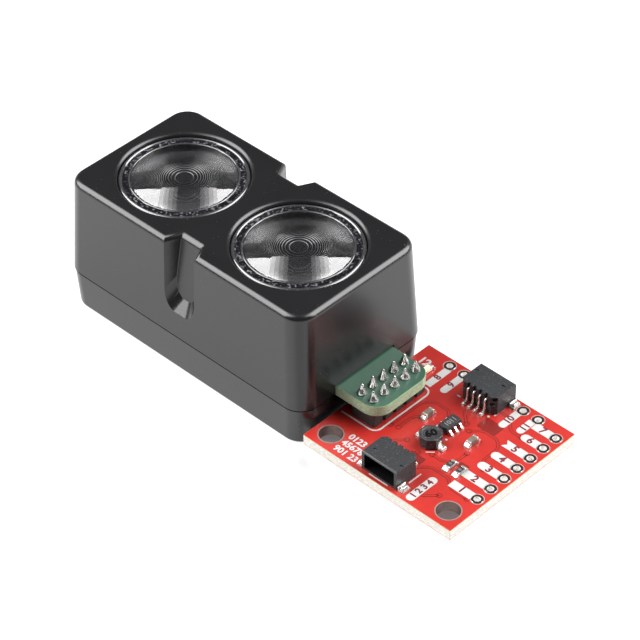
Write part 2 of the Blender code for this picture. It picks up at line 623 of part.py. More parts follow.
def board_chips():
    """What stands on the front of the main board between the barrels, and hangs from its back."""
    front_z = BOARD_FRONT_Z + SEAT_GAP
    back_z = BOARD_BACK_Z - SEAT_GAP
    between = (TRANSMIT_THROAT_RADIUS + BARREL_FOOT_WIDTH - SHIELD_HALF_WIDTH) / 2
    block("driver_chip", (between, 0.0), DRIVER_SIZE, front_z, CHIP_BLACK)
    step = (DRIVER_SIZE[1] + STORAGE_SIZE[1]) / 2 + CHIP_SPACING
    block("storage_capacitor_1", (between, -step), STORAGE_SIZE, front_z, CERAMIC)
    block("storage_capacitor_2", (between, step), STORAGE_SIZE, front_z, CERAMIC)
    block("processor_chip", (0.0, 0.0), PROCESSOR_SIZE, back_z, CHIP_BLACK, -1)
    crystal_x = PROCESSOR_SIZE[0] / 2 + CHIP_SPACING + CRYSTAL_SIZE[0] / 2
    block("crystal", (crystal_x, 0.0), CRYSTAL_SIZE, back_z, BRIGHT_METAL, -1)
    antenna_x = -BOARD_HALF_LENGTH + CHIP_SPACING + ANTENNA_SIZE[0] / 2
    block("antenna", (antenna_x, 0.0), ANTENNA_SIZE, back_z, CERAMIC, -1)


# ---------------------------------------------------------------- header
def pin_places():
    for row in (-0.5, 0.5):
        for i in range(PINS_PER_ROW):
            yield (HEADER_X + row * PIN_PITCH, (i - (PINS_PER_ROW - 1) / 2) * PIN_PITCH)


def pin_holes(low_z, high_z):
    bm = bmesh.new()
    for place in pin_places():
        cylinder(bm, place, PIN_HOLE_RADIUS, low_z - PIN_RADIUS, high_z + PIN_RADIUS, COARSE)
    return add_cutter("pin_holes", bm)


def header():
    """A moulded strip between the boards, and pins with a solder cone on each outer side."""
    bm = bmesh.new()
    middle_box(bm, (HEADER_X, 0.0), (HEADER_LENGTH, HEADER_WIDTH, HEADER_HEIGHT), HEADER_BACK_Z)
    strip = add_piece("header_insulator", bm, CHIP_BLACK)
    combine(strip, pin_holes(HEADER_BACK_Z, HEADER_TOP_Z))

    above = BOARD_FRONT_Z + SEAT_GAP
    below = BREAKOUT_BACK_Z - SEAT_GAP
    half_tip = PIN_RADIUS / 2
    profile = [(0.0, below - PIN_STUB), (half_tip, below - PIN_STUB),
               (PIN_RADIUS, below - SOLDER_HEIGHT), (SOLDER_RADIUS / 2, below - SOLDER_HEIGHT / 3),
               (SOLDER_RADIUS, below), (PIN_RADIUS, below), (PIN_RADIUS, above), (SOLDER_RADIUS, above),
               (SOLDER_RADIUS / 2, above + SOLDER_HEIGHT / 2), (PIN_RADIUS, above + SOLDER_HEIGHT),
               (half_tip, above + PIN_TAIL), (0.0, above + PIN_TAIL)]
    for number, place in enumerate(pin_places(), start=1):
        bm = bmesh.new()
        turned(bm, profile, place, PIN_FACETS)
        add_piece(f"header_pin_{number:02d}", bm, BRIGHT_METAL)


# ---------------------------------------------------------------- breakout board
def wire_hole_places():
    """Seven holes along the free end, and two pairs along the far side."""
    end_x = BREAKOUT_END_X - WIRE_EDGE
    for i in range(END_ROW_HOLES):
        yield (end_x, END_ROW_Y + (i - (END_ROW_HOLES - 1) / 2) * WIRE_PITCH)
    for offset in SIDE_ROW_OFFSETS:
        yield (BREAKOUT_START_X + offset, BREAKOUT_WIDTH / 2 - WIRE_EDGE)


def mount_hole_places():
    near_y = -BREAKOUT_WIDTH / 2 + MOUNT_HOLE_INSET
    return ((BREAKOUT_START_X + MOUNT_HOLE_INSET, near_y), (BREAKOUT_END_X - MOUNT_HOLE_INSET, near_y))


def breakout_board():
    bm = bmesh.new()
    box(bm, (BREAKOUT_START_X, -BREAKOUT_WIDTH / 2, BREAKOUT_BACK_Z),
        (BREAKOUT_END_X, BREAKOUT_WIDTH / 2, BREAKOUT_FRONT_Z))
    board = add_piece("breakout_board", bm, RED_BOARD)
    low_z = BREAKOUT_BACK_Z - BREAKOUT_THICKNESS
    high_z = BREAKOUT_FRONT_Z + BREAKOUT_THICKNESS
    holes = bmesh.new()
    for place in mount_hole_places():
        cylinder(holes, place, MOUNT_HOLE_RADIUS, low_z, high_z, MEDIUM)
    for place in wire_hole_places():
        cylinder(holes, place, WIRE_HOLE_RADIUS, low_z, high_z, COARSE)
    combine(board, add_cutter("board_holes", holes))
    combine(board, pin_holes(BREAKOUT_BACK_Z, BREAKOUT_FRONT_Z))


def contact_xs():
    for i in range(CONTACTS_PER_SOCKET):
        yield SOCKET_X + (i - (CONTACTS_PER_SOCKET - 1) / 2) * CONTACT_PITCH


def socket(name, side, edge):
    """A side-entry cable socket whose mouth faces out over the board's edge: side -1 near, 1 far."""
    mouth_y = BREAKOUT_WIDTH / 2 - edge
    back_y = mouth_y - SOCKET_DEPTH
    top_z = PART_Z + SOCKET_HEIGHT
    bm = bmesh.new()
    box(bm, (SOCKET_X - SOCKET_WIDTH / 2, side * back_y, PART_Z),
        (SOCKET_X + SOCKET_WIDTH / 2, side * mouth_y, top_z))
    bevel(bm, edges_where(bm, level(top_z)), SOCKET_WALL / 2, 2)
    body = add_piece(name + "_housing", bm, CHIP_BLACK)

    room = bmesh.new()
    half_room = SOCKET_WIDTH / 2 - SOCKET_WALL
    box(room, (SOCKET_X - half_room, side * (mouth_y - SOCKET_CAVITY_DEPTH), PART_Z + SOCKET_FLOOR),
        (SOCKET_X + half_room, side * (mouth_y + SOCKET_WALL), top_z - SOCKET_WALL))
    combine(body, add_cutter("socket_room", room))
    holes = bmesh.new()
    half_hole = CONTACT_WIDTH / 2 + CONTACT_CLEARANCE
    low_z = CONTACT_TOP_Z - CONTACT_METAL - CONTACT_CLEARANCE
    for x in contact_xs():
        box(holes, (x - half_hole, side * (back_y - SOCKET_WALL), low_z),
            (x + half_hole, side * (mouth_y - SOCKET_CAVITY_DEPTH / 2), CONTACT_TOP_Z + CONTACT_CLEARANCE))
    combine(body, add_cutter("contact_holes", holes))

    for number, x in enumerate(contact_xs(), start=1):
        contact(f"{name}_contact_{number}", x, side, mouth_y)
    for label, hand in (("left", -1), ("right", 1)):
        anchor(f"{name}_anchor_{label}", side, mouth_y, hand)


def contact(name, x, side, mouth_y):
    """A sprung strip: a blade in the socket, down its back, and out to a foot on the board."""
    top = CONTACT_TOP_Z
    knee = PART_Z + CONTACT_KNEE
    low = PART_Z + CONTACT_METAL
    drop_y = mouth_y - SOCKET_DEPTH - CONTACT_CLEARANCE
    outer_y = drop_y - CONTACT_METAL
    foot_y = outer_y - CONTACT_LEAN
    toe_y = foot_y - CONTACT_FOOT
    blade_y = mouth_y - SOCKET_CAVITY_DEPTH + CONTACT_BLADE
    outline = [(blade_y, top), (outer_y, top), (outer_y, knee), (foot_y, low), (toe_y, low), (toe_y, PART_Z),
               (foot_y + CONTACT_METAL, PART_Z), (drop_y, knee), (drop_y, top - CONTACT_METAL),
               (blade_y, top - CONTACT_METAL)]
    bm = bmesh.new()
    low_x = x - CONTACT_WIDTH / 2
    sweep(bm, [(low_x, side * y, z) for y, z in outline], (CONTACT_WIDTH, 0, 0))
    add_piece(name, bm, BRIGHT_METAL)


def anchor(name, side, mouth_y, hand):
    """An angle of sheet metal at one end of a socket, soldered down to hold it."""
    wall_x = SOCKET_X + hand * (SOCKET_WIDTH / 2 + CONTACT_CLEARANCE)
    near_y = side * (mouth_y - ANCHOR_INSET)
    outline = [(0.0, 0.0), (ANCHOR_FOOT, 0.0), (ANCHOR_FOOT, ANCHOR_METAL), (ANCHOR_METAL, ANCHOR_METAL),
               (ANCHOR_METAL, ANCHOR_HEIGHT), (0.0, ANCHOR_HEIGHT)]
    bm = bmesh.new()
    sweep(bm, [(wall_x + hand * x, near_y, PART_Z + z) for x, z in outline], (0, -side * ANCHOR_WIDTH, 0))
    add_piece(name, bm, BRIGHT_METAL)


# ---------------------------------------------------------------- parts on the breakout board
def on_breakout(place):
    return (BREAKOUT_START_X + place[0], place[1])


def converter_chip():
    """A six-lead package, its leads reaching out along X."""
    x, y = on_breakout(CONVERTER_PLACE)
    length, width, height = CONVERTER_BODY
    stand = LEAD_METAL
    bm = bmesh.new()
    middle_box(bm, (x, y), (length, width, height - stand), PART_Z + stand)
    body = add_piece("converter_chip", bm, CHIP_BLACK)
    leads = bmesh.new()
    knee_z = PART_Z + height / 2
    for hand in (-1, 1):
        for i in (-1, 0, 1):
            lead_y = y + i * LEAD_PITCH
            edge_x = x + hand * length / 2
            knee_x = edge_x + hand * LEAD_REACH / 2
            foot_x = edge_x + hand * LEAD_REACH
            root_x = x + hand * length / 4
            inner_x = knee_x - hand * LEAD_METAL
            outline = [(root_x, knee_z + LEAD_METAL), (knee_x, knee_z + LEAD_METAL),
                       (knee_x + hand * LEAD_METAL / 2, PART_Z + LEAD_METAL), (foot_x, PART_Z + LEAD_METAL),
                       (foot_x, PART_Z), (inner_x, PART_Z), (inner_x, knee_z), (root_x, knee_z)]
            low_y = lead_y - LEAD_WIDTH / 2
            sweep(leads, [(px, low_y, pz) for px, pz in outline], (0, LEAD_WIDTH, 0))
    combine(body, add_cutter("converter_leads", leads), 'UNION')


def inductor():
    """An eight-sided coil body on two broad terminals."""
    x, y = on_breakout(INDUCTOR_PLACE)
    half_side_angle = math.pi / INDUCTOR_SIDES
    bm = bmesh.new()
    corner_radius = INDUCTOR_WIDTH / 2 / math.cos(half_side_angle)
    made = cylinder(bm, (x, y), corner_radius, PART_Z, PART_Z + INDUCTOR_HEIGHT, INDUCTOR_SIDES)
    bmesh.ops.rotate(bm, verts=made, cent=(x, y, 0), matrix=Matrix.Rotation(half_side_angle, 3, 'Z'))
    body = add_piece("inductor", bm, FERRITE)
    reach, width, height = INDUCTOR_TERMINAL
    terminals = bmesh.new()
    middle_box(terminals, (x, y), (INDUCTOR_WIDTH + 2 * reach, width, height), PART_Z)
    combine(body, add_cutter("inductor_terminals", terminals), 'UNION')


def chip_part(name, place, height, look):
    """A two-ended surface part lying along Y, with a wedge of solder at each end."""
    x, y = on_breakout(place)
    half = CHIP_LENGTH / 2
    solder = half + CHIP_SOLDER
    wedge_z = height - CHIP_SOLDER_DROP
    outline = [(-solder, 0.0), (solder, 0.0), (half, wedge_z), (half, height), (-half, height),
               (-half, wedge_z)]
    bm = bmesh.new()
    sweep(bm, [(x - CHIP_WIDTH / 2, y + py, PART_Z + pz) for py, pz in outline], (CHIP_WIDTH, 0, 0))
    add_piece(name, bm, look)


def small_parts():
    converter_chip()
    inductor()
    for number, place in enumerate(CAPACITOR_PLACES, start=1):
        chip_part(f"capacitor_{number}", place, CAPACITOR_HEIGHT, CERAMIC)
    for number, place in enumerate(RESISTOR_PLACES, start=1):
        chip_part(f"resistor_{number}", place, RESISTOR_HEIGHT, CHIP_BLACK)
    chip_part("power_led", (LED_X, BREAKOUT_WIDTH / 2 - LED_EDGE), LED_HEIGHT, LED_LENS)


def build():
    clear_scene()
    front_housing()
    rear_cover()
    lens("transmit_lens", -LENS_X)
    lens("receive_lens", LENS_X)
    barrel("transmit_barrel", -LENS_X, TRANSMIT_THROAT_RADIUS, BOARD_FRONT_Z + SEAT_GAP)
    barrel("receive_barrel", LENS_X, RECEIVE_THROAT_RADIUS, BOARD_FRONT_Z + 2 * SEAT_GAP + SHIELD_HEIGHT)
    main_board()
    emitter()
    receiver()
    board_chips()
    header()
    breakout_board()
    socket("socket_near", -1, NEAR_SOCKET_EDGE)
    socket("socket_far", 1, FAR_SOCKET_EDGE)
    small_parts()


build()
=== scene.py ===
"""Looks of the lidar scanner module: every visible piece, its finish, and the studio round it.

The packed model is the frame. Pieces take their places from its nodes' boxes, in metres, and the
fine shapes that the model leaves out, such as lens grooves, solder and print, are modelled here.
The file is laid out as a Blender add-on, with one operator for each piece or group of like pieces.
"""

import math
from contextlib import contextmanager
from functools import cache

import bmesh
import bpy
from bpy.props import FloatProperty, FloatVectorProperty, IntProperty, PointerProperty
from bpy.types import Operator, Panel, PropertyGroup
from mathutils import Matrix, Vector


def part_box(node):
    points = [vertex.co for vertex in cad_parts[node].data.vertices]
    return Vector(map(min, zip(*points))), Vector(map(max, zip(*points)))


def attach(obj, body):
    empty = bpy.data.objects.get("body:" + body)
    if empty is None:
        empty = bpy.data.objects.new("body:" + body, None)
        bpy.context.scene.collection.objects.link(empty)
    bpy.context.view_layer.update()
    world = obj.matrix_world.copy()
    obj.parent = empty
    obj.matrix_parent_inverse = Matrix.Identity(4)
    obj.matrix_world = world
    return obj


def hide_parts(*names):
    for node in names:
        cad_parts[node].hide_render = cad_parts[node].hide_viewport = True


bl_info = {
    "name": "Lidar scanner module",
    "version": (1, 0, 0),
    "blender": (4, 5, 0),
    "location": "3D View > Sidebar > Scanner",
    "description": "Models the pieces and finishes of a lidar scanner module round its packed frame",
    "category": "Object",
}

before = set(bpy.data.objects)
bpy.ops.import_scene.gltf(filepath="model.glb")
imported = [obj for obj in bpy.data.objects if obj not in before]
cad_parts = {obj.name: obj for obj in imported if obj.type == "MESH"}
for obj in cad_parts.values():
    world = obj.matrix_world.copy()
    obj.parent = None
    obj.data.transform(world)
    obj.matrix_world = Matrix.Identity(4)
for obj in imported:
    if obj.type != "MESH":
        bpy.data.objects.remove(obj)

BODY = "root"
MM = 0.001
MERGE = 2e-7                        # corners closer than this are one
TINY = 1e-6                         # measures closer than this are the same
SMOOTH_ANGLE = math.radians(24)
DETAIL = "_detail"                  # ends the name of a piece that stands for a node


# ---------------------------------------------------------------- settings
def length(name, description, default):
    return FloatProperty(name=name, description=description, default=default, min=0.0, precision=5,
                         subtype='DISTANCE', unit='LENGTH')


def angle(name, description, degrees):
    return FloatProperty(name=name, description=description, default=math.radians(degrees),
                         subtype='ANGLE', unit='ROTATION')


def colour(name, description, default):
    return FloatVectorProperty(name=name, description=description, default=default, size=3, min=0.0,
                               max=1.0, subtype='COLOR')


class HousingSettings(PropertyGroup):
    """Sizes and colour of the two shells."""
    corner_radius: length("Corner radius", "Round of the upright corners", 2.9 * MM)
    edge_radius: length("Front edge radius", "Round of the edge of the front face", 0.8 * MM)
    foot_radius: length("Back edge radius", "Round of the edge of the back face", 0.5 * MM)
    wall: length("Wall", "Thickness of the side walls", 1.5 * MM)
    notch_mouth: length("Notch mouth", "Width of a grip notch at the side face", 5.6 * MM)
    notch_back: length("Notch back", "Width of a grip notch at its back wall", 3.4 * MM)
    notch_depth: length("Notch depth", "Depth of a grip notch at the front face", 2.2 * MM)
    notch_foot: length("Notch foot height", "Lowest point of a grip notch", 10.2 * MM)
    notch_round: length("Notch foot round", "Round of the foot of a grip notch", 1.8 * MM)
    colour: colour("Plastic colour", "Colour of the moulded plastic", (0.0055, 0.0055, 0.0060))


class LensSettings(PropertyGroup):
    """Sizes of the two ring-grooved lenses."""
    groove_depth: length("Groove depth", "Depth of each ring groove", 0.062 * MM)
    groove_slope: FloatProperty(name="Groove slope", default=75.4, min=1.0,
                                description="Slope of a groove face for each metre from the axis")
    rim_width: length("Rim width", "Plain band round the grooves", 1.62 * MM)
    sides: IntProperty(name="Sides", description="Facets round a lens", default=112, min=24)


class BoardSettings(PropertyGroup):
    """Colours of the boards and the thickness of what is printed on them."""
    red: colour("Red mask", "Colour of the breakout board", (0.37, 0.015, 0.010))
    green: colour("Green mask", "Colour of the main board", (0.030, 0.085, 0.053))
    ink: colour("Print", "Colour of the printed lines and labels", (0.46, 0.46, 0.45))
    ink_height: length("Print thickness", "Height of the printed ink", 0.02 * MM)
    trace_height: length("Track thickness", "Height of a track under the mask", 0.018 * MM)


class SocketSettings(PropertyGroup):
    """Sizes and colour of the cable sockets."""
    wall: length("Wall", "Thickness of a socket's walls", 0.45 * MM)
    roof: length("Roof", "Thickness of a socket's roof", 0.28 * MM)
    floor: length("Floor", "Thickness of a socket's floor", 0.3 * MM)
    back: length("Back wall", "Thickness of a socket's back wall", 1.25 * MM)
    metal: length("Contact metal", "Thickness of a contact", 0.2 * MM)
    colour: colour("Socket colour", "Colour of the moulded sockets", (0.015, 0.016, 0.018))


class StageSettings(PropertyGroup):
    """Camera, floor and lights."""
    azimuth: angle("Azimuth", "Turn of the camera round the object", 44.306)
    elevation: angle("Elevation", "Height of the camera as an angle", 40.929)
    roll: angle("Roll", "Lean of the camera", -0.633)
    distance: length("Distance", "Camera to the point that it looks at", 379.4 * MM)
    focal_length: FloatProperty(name="Focal length", default=155.85, min=1.0,
                                description="Focal length in millimetres on a 36 mm sensor")
    floor_colour: colour("Floor colour", "Colour of the pale floor", (0.30, 0.30, 0.30))


SETTINGS = {
    "scanner_housing": HousingSettings,
    "scanner_lens": LensSettings,
    "scanner_boards": BoardSettings,
    "scanner_sockets": SocketSettings,
    "scanner_stage": StageSettings,
}


# ---------------------------------------------------------------- modelling tools
def only(piece):
    """Leave one piece selected and active."""
    bpy.ops.object.select_all(action='DESELECT')
    piece.select_set(True)
    bpy.context.view_layer.objects.active = piece


@contextmanager
def shaping(piece):
    """Edit mode on one piece, and back to object mode afterwards."""
    only(piece)
    bpy.ops.object.mode_set(mode='EDIT')
    yield
    bpy.ops.object.mode_set(mode='OBJECT')


def settle(piece):
    """Put a piece's place, turn and size into its mesh."""
    only(piece)
    bpy.ops.object.transform_apply(location=True, rotation=True, scale=True)
    return piece


def named(name):
    piece = bpy.context.object
    piece.name = name
    return settle(piece)


def block(name, low, high):
    """A box between two corners, to be shaped further."""
    low, high = Vector(low), Vector(high)
    bpy.ops.object.select_all(action='DESELECT')
    bpy.ops.mesh.primitive_cube_add(size=1.0, location=(low + high) / 2, scale=high - low)
    return named(name)


def rod(name, centre, radius, low_z, high_z, sides):
    """An upright cylinder, to be shaped further."""
    bpy.ops.object.select_all(action='DESELECT')
    bpy.ops.mesh.primitive_cylinder_add(vertices=sides, radius=radius, depth=high_z - low_z,
                                        location=(centre[0], centre[1], (low_z + high_z) / 2))
    return named(name)


def pick(piece, kind, test):
    """In edit mode, select only what passes a test, of a kind: 'FACE', 'EDGE' or 'VERT'.

    The test gets a face's middle and normal, an edge's two ends, or a corner's place.
    """
    bpy.ops.mesh.select_mode(type=kind)
    bpy.ops.mesh.select_all(action='DESELECT')
    form = bmesh.from_edit_mesh(piece.data)
    parts, facts = {
        'FACE': (form.faces, lambda face: (face.calc_center_median(), face.normal)),
        'EDGE': (form.edges, lambda edge: (edge.verts[0].co, edge.verts[1].co)),
        'VERT': (form.verts, lambda vert: (vert.co,)),
    }[kind]
    found = [part for part in parts if test(*facts(part))]
    if not found:
        raise RuntimeError(f"{piece.name}: nothing of kind {kind} passes the test")
    for part in found:
        part.select_set(True)
    bmesh.update_edit_mesh(piece.data)


def pick_all():
    bpy.ops.mesh.select_all(action='SELECT')


def bevel(width, steps, affect='EDGES', clamp=True):
    bpy.ops.mesh.bevel(offset=width, offset_type='OFFSET', segments=steps, profile=0.5, affect=affect,
                       clamp_overlap=clamp)


def ease(piece, test, width, steps, clamp=True):
    """In edit mode, round the edges that pass a test."""
    pick(piece, 'EDGE', test)
    bevel(width, steps, clamp=clamp)


def pull(travel):
    bpy.ops.mesh.extrude_region_move(TRANSFORM_OT_translate={"value": travel})


def shift(travel):
    bpy.ops.transform.translate(value=travel)


def stretch(scale, centre):
    bpy.ops.transform.resize(value=scale, center_override=centre)


def face_outwards():
    """In edit mode, turn every face outwards."""
    pick_all()
    bpy.ops.mesh.normals_make_consistent(inside=False)


def close_up():
    """In edit mode, merge doubles and turn every face outwards."""
    pick_all()
    bpy.ops.mesh.remove_doubles(threshold=MERGE)
    face_outwards()


# ---------------------------------------------------------------- tests for faces and edges
def same(a, b):
    """Whether two measures are the same but for rounding."""
    return abs(a - b) < TINY


def level(z):
    return lambda a, b: same(a.z, z) and same(b.z, z)


def upright(a, b):
    return abs(a.z - b.z) > 0.9 * (a - b).length


def any_edge(a, b):
    return True


def facing_up(middle, normal):
    return normal.z > 0.7


def on_side(middle, normal):
    """A face that is neither the top nor the bottom."""
    return abs(normal.z) < 0.9


# ---------------------------------------------------------------- making and joining pieces
def modify(piece, kind, **settings):
    """Give a piece a modifier and apply it."""
    only(piece)
    modifier = piece.modifiers.new(kind.lower(), kind)
    for name, value in settings.items():
        setattr(modifier, name, value)
    bpy.ops.object.modifier_apply(modifier=modifier.name)


def combine(piece, tool, operation='DIFFERENCE'):
    """Cut a tool out of a piece, or join it on, and put the tool away."""
    modify(piece, 'BOOLEAN', object=tool, operation=operation, solver='EXACT')
    bpy.data.objects.remove(tool)


def join(name, pieces):
    """Make one object of several."""
    bpy.ops.object.select_all(action='DESELECT')
    for piece in pieces:
        piece.select_set(True)
    bpy.context.view_layer.objects.active = pieces[0]
    if len(pieces) > 1:
        bpy.ops.object.join()
    return named(name)


def twin(piece, name, place):
    """A copy with its own mesh, moved or turned about the origin."""
    only(piece)
    bpy.ops.object.duplicate()
    bpy.context.object.matrix_world = place
    return named(name)


def moved(x, y):
    return Matrix.Translation((x, y, 0.0))


def line(name, points, closed=False):
    """A run of edges, drawn out corner by corner."""
    bpy.ops.object.select_all(action='DESELECT')
    bpy.ops.mesh.primitive_plane_add(size=MM, location=points[0])
    piece = named(name)
    with shaping(piece):
        bpy.ops.mesh.select_mode(type='VERT')
        pick_all()
        bpy.ops.mesh.merge(type='CENTER')
        for start, end in zip(points, points[1:]):
            step = Vector(end) - Vector(start)
            bpy.ops.mesh.extrude_vertices_move(TRANSFORM_OT_translate={"value": step})
        if closed:
            first, last = Vector(points[0]), Vector(points[-1])
            pick(piece, 'VERT', lambda place: min((place - first).length, (place - last).length) < MERGE)
            bpy.ops.mesh.edge_face_add()
    return piece


def arc(middle, reach, start, end, steps):
    """Corners along an oval in a half outline, from one angle to another, in degrees from straight up."""
    turns = [math.radians(start + (end - start) * step / steps) for step in range(steps + 1)]
    return [(middle[0] + reach[0] * math.sin(turn), middle[1] + reach[1] * math.cos(turn)) for turn in turns]


def drawn_out(name, outline, travel):
    """A closed flat outline, filled and pulled out along a straight way."""
    piece = line(name, outline, closed=True)
    with shaping(piece):
        pick_all()
        bpy.ops.mesh.edge_face_add()
        pull(travel)
        close_up()
    return piece


def spun(name, centre, profile, sides, closed=False):
    """A half outline of (radius, height) corners, turned about an upright axis."""
    points = [(centre[0] + radius, centre[1], height) for radius, height in profile]
    piece = line(name, points, closed)
    with shaping(piece):
        pick_all()
        bpy.ops.mesh.spin(steps=sides, angle=math.tau, center=(centre[0], centre[1], 0.0), axis=(0, 0, 1))
        close_up()
    return piece


def strip(name, points, width, travel, corner=0.0, steps=4):
    """A flat strip of even width along a line, with rounded corners, as thick as its travel."""
    piece = line(name, points)
    with shaping(piece):
        if corner:
            ends = (Vector(points[0]), Vector(points[-1]))
            pick(piece, 'VERT', lambda place: all((place - end).length > MERGE for end in ends))
            bevel(corner, steps, 'VERTICES')
        pick_all()
        pull(travel)
        face_outwards()
    modify(piece, 'SOLIDIFY', thickness=width, offset=0.0, use_even_offset=True)
    with shaping(piece):
        close_up()
    return piece


def lettering(name, text, size, place, turn, height):
    """Plain numbers that stand a little proud of what they are printed on."""
    bpy.ops.object.select_all(action='DESELECT')
    bpy.ops.object.text_add()
    words = bpy.context.object
    words.data.body = text
    words.data.size = size
    words.data.extrude = height / 2
    words.data.offset = size * 0.035
    words.data.align_x = 'CENTER'
    words.data.align_y = 'CENTER'
    words.data.resolution_u = 3
    bpy.ops.object.convert(target='MESH')
    piece = bpy.context.object
    piece.matrix_world = Matrix.Translation(place) @ Matrix.Rotation(turn, 4, 'Z')
    return named(name)


def paint(piece, material, test=None):
    """Give a whole piece a material, or only the faces that pass a test."""
    piece.data.materials.append(material)
    if test is None:
        return piece
    with shaping(piece):
        pick(piece, 'FACE', test)
        piece.active_material_index = len(piece.data.materials) - 1
        bpy.ops.object.material_slot_assign()
    return piece


def finish(piece, nodes=(), smooth=SMOOTH_ANGLE):
    """Smooth a piece, name its mesh after it, hang it on its body, and hide the nodes that it stands for."""
    settle(piece)
    bpy.ops.object.shade_smooth_by_angle(angle=smooth)
    modify(piece, 'WEIGHTED_NORMAL', mode='FACE_AREA', keep_sharp=True)
    piece.data.name = piece.name
    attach(piece, BODY)
    if nodes:
        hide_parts(*nodes)


# ---------------------------------------------------------------- shader tools
def plug(tree, socket, value):
    """Link a socket to a value, or set it to a number, a colour or a vector."""
    if isinstance(value, Value):
        tree.links.new(value.socket, socket)
    elif isinstance(value, bpy.types.NodeSocket):
        tree.links.new(value, socket)
    elif isinstance(value, tuple) and socket.type == 'RGBA':
        socket.default_value = (*value, 1.0)
    else:
        socket.default_value = value


class Value:
    """A number that varies over a surface. A sum with it adds its Math node."""

    def __init__(self, tree, socket):
        self.tree = tree
        self.socket = socket

    def maths(self, operation, first, second):
        node = self.tree.nodes.new("ShaderNodeMath")
        node.operation = operation
        plug(self.tree, node.inputs[0], first)
        plug(self.tree, node.inputs[1], second)
        return Value(self.tree, node.outputs[0])

    def __add__(self, other):
        return self.maths('ADD', self, other)

    def __radd__(self, other):
        return self.maths('ADD', other, self)

    def __sub__(self, other):
        return self.maths('SUBTRACT', self, other)

    def __rsub__(self, other):
        return self.maths('SUBTRACT', other, self)

    def __mul__(self, other):
        return self.maths('MULTIPLY', self, other)

    def __rmul__(self, other):
        return self.maths('MULTIPLY', other, self)

    def __truediv__(self, other):
        return self.maths('DIVIDE', self, other)


class Look:
    """A material being built: a Principled shader, and the nodes that vary it over a piece."""

    def __init__(self, name, **constants):
        self.material = bpy.data.materials.new(name)
        self.material.use_nodes = True
        self.tree = self.material.node_tree
        self.shader = self.tree.nodes["Principled BSDF"]
        self.place = self.node("ShaderNodeTexCoord").outputs["Object"]
        for label, value in constants.items():
            plug(self.tree, self.shader.inputs[label.replace("_", " ")], value)

    def node(self, kind, settings=None, inputs=None):
        made = self.tree.nodes.new(kind)
        for label, value in (settings or {}).items():
            setattr(made, label, value)
        for label, value in (inputs or {}).items():
            plug(self.tree, made.inputs[label], value)
        return made

    def noise(self, size, detail=2.0, roughness=0.5, squeeze=(1.0, 1.0, 1.0)):
        """Cloudy noise from 0 to 1, with blotches about size metres wide."""
        place = self.place
        if squeeze != (1.0, 1.0, 1.0):
            place = self.node("ShaderNodeMapping", {}, {"Vector": place, "Scale": squeeze}).outputs[0]
        made = self.node("ShaderNodeTexNoise", {}, {"Vector": place, "Scale": 1 / size, "Detail": detail,
                                                    "Roughness": roughness})
        return Value(self.tree, made.outputs["Fac"])

    def cells(self, size):
        """Distance to scattered points about size metres apart, from 0 to 1."""
        made = self.node("ShaderNodeTexVoronoi", {}, {"Vector": self.place, "Scale": 1 / size})
        return Value(self.tree, made.outputs["Distance"])

    def along(self, axis):
        """How far along X, Y or Z a point lies, in metres."""
        parts = self.node("ShaderNodeSeparateXYZ", {}, {"Vector": self.place})
        return Value(self.tree, parts.outputs[axis])

    def ramp(self, value, low, high):
        """0 below low, 1 above high, and smooth between."""
        made = self.node("ShaderNodeMapRange", {"interpolation_type": 'SMOOTHSTEP'},
                         {"Value": value, "From Min": low, "From Max": high})
        return Value(self.tree, made.outputs["Result"])

    def blend(self, share, first, second):
        """The first colour where share is 0, and the second where it is 1."""
        made = self.node("ShaderNodeMix", {"data_type": 'RGBA'}, {0: share, 6: first, 7: second})
        return made.outputs[2]

    def bump(self, height, distance):
        """A relief as deep as distance, in metres."""
        made = self.node("ShaderNodeBump", {}, {"Height": height, "Distance": distance, "Strength": 1.0})
        return made.outputs["Normal"]

    def feed(self, **sockets):
        for label, value in sockets.items():
            plug(self.tree, self.shader.inputs[label.replace("_", " ")], value)
        return self.material


def tinted(tone, share):
    """A colour made lighter or darker by a share."""
    return tuple(min(1.0, part * share) for part in tone)


def grey(level):
    return (level, level, level)


# ---------------------------------------------------------------- finishes
def clouded(name, dark, light, pattern, roughness, relief=None, **constants):
    """A finish with one pattern, which turns its colour from dark to light and roughens it from low to high.

    The pattern is the noise's size and whatever else noise() takes. Relief is its depth, in metres.
    """
    look = Look(name, **constants)
    cloud = look.noise(*pattern)
    low, high = roughness
    look.feed(Base_Color=look.blend(cloud, dark, light), Roughness=low + cloud * (high - low))
    if relief:
        look.feed(Normal=look.bump(cloud, relief))
    return look.material


@cache
def housing_plastic():
    """Satin black plastic with the fine grain of its mould, faint clouds and a little dust."""
    tone = tuple(bpy.context.scene.scanner_housing.colour)
    look = Look("housing_plastic", IOR=1.5, Specular_IOR_Level=0.62)
    grain = look.noise(0.00011, 3.0, 0.6)
    cloud = look.noise(0.006, 2.0)
    dust = look.ramp(look.noise(0.00035, 1.0), 0.76, 0.84)
    base = look.blend(cloud, tinted(tone, 0.85), tinted(tone, 1.15))
    return look.feed(Base_Color=look.blend(dust * 0.35, base, grey(0.09)),
                     Roughness=0.21 + grain * 0.05 + cloud * 0.04 + dust * 0.15,
                     Normal=look.bump(grain + cloud * 0.2, 0.0000016))


@cache
def lens_plastic():
    """Clear lens plastic, very faintly hazy where it has been wiped."""
    return clouded("lens_plastic", (0.93, 0.95, 0.97), grey(0.99), (0.0016, 3.0, 0.6), (0.02, 0.07),
                   0.000001, IOR=1.55, Transmission_Weight=1.0, Coat_Weight=1.0, Coat_Roughness=0.03,
                   Coat_IOR=1.5)


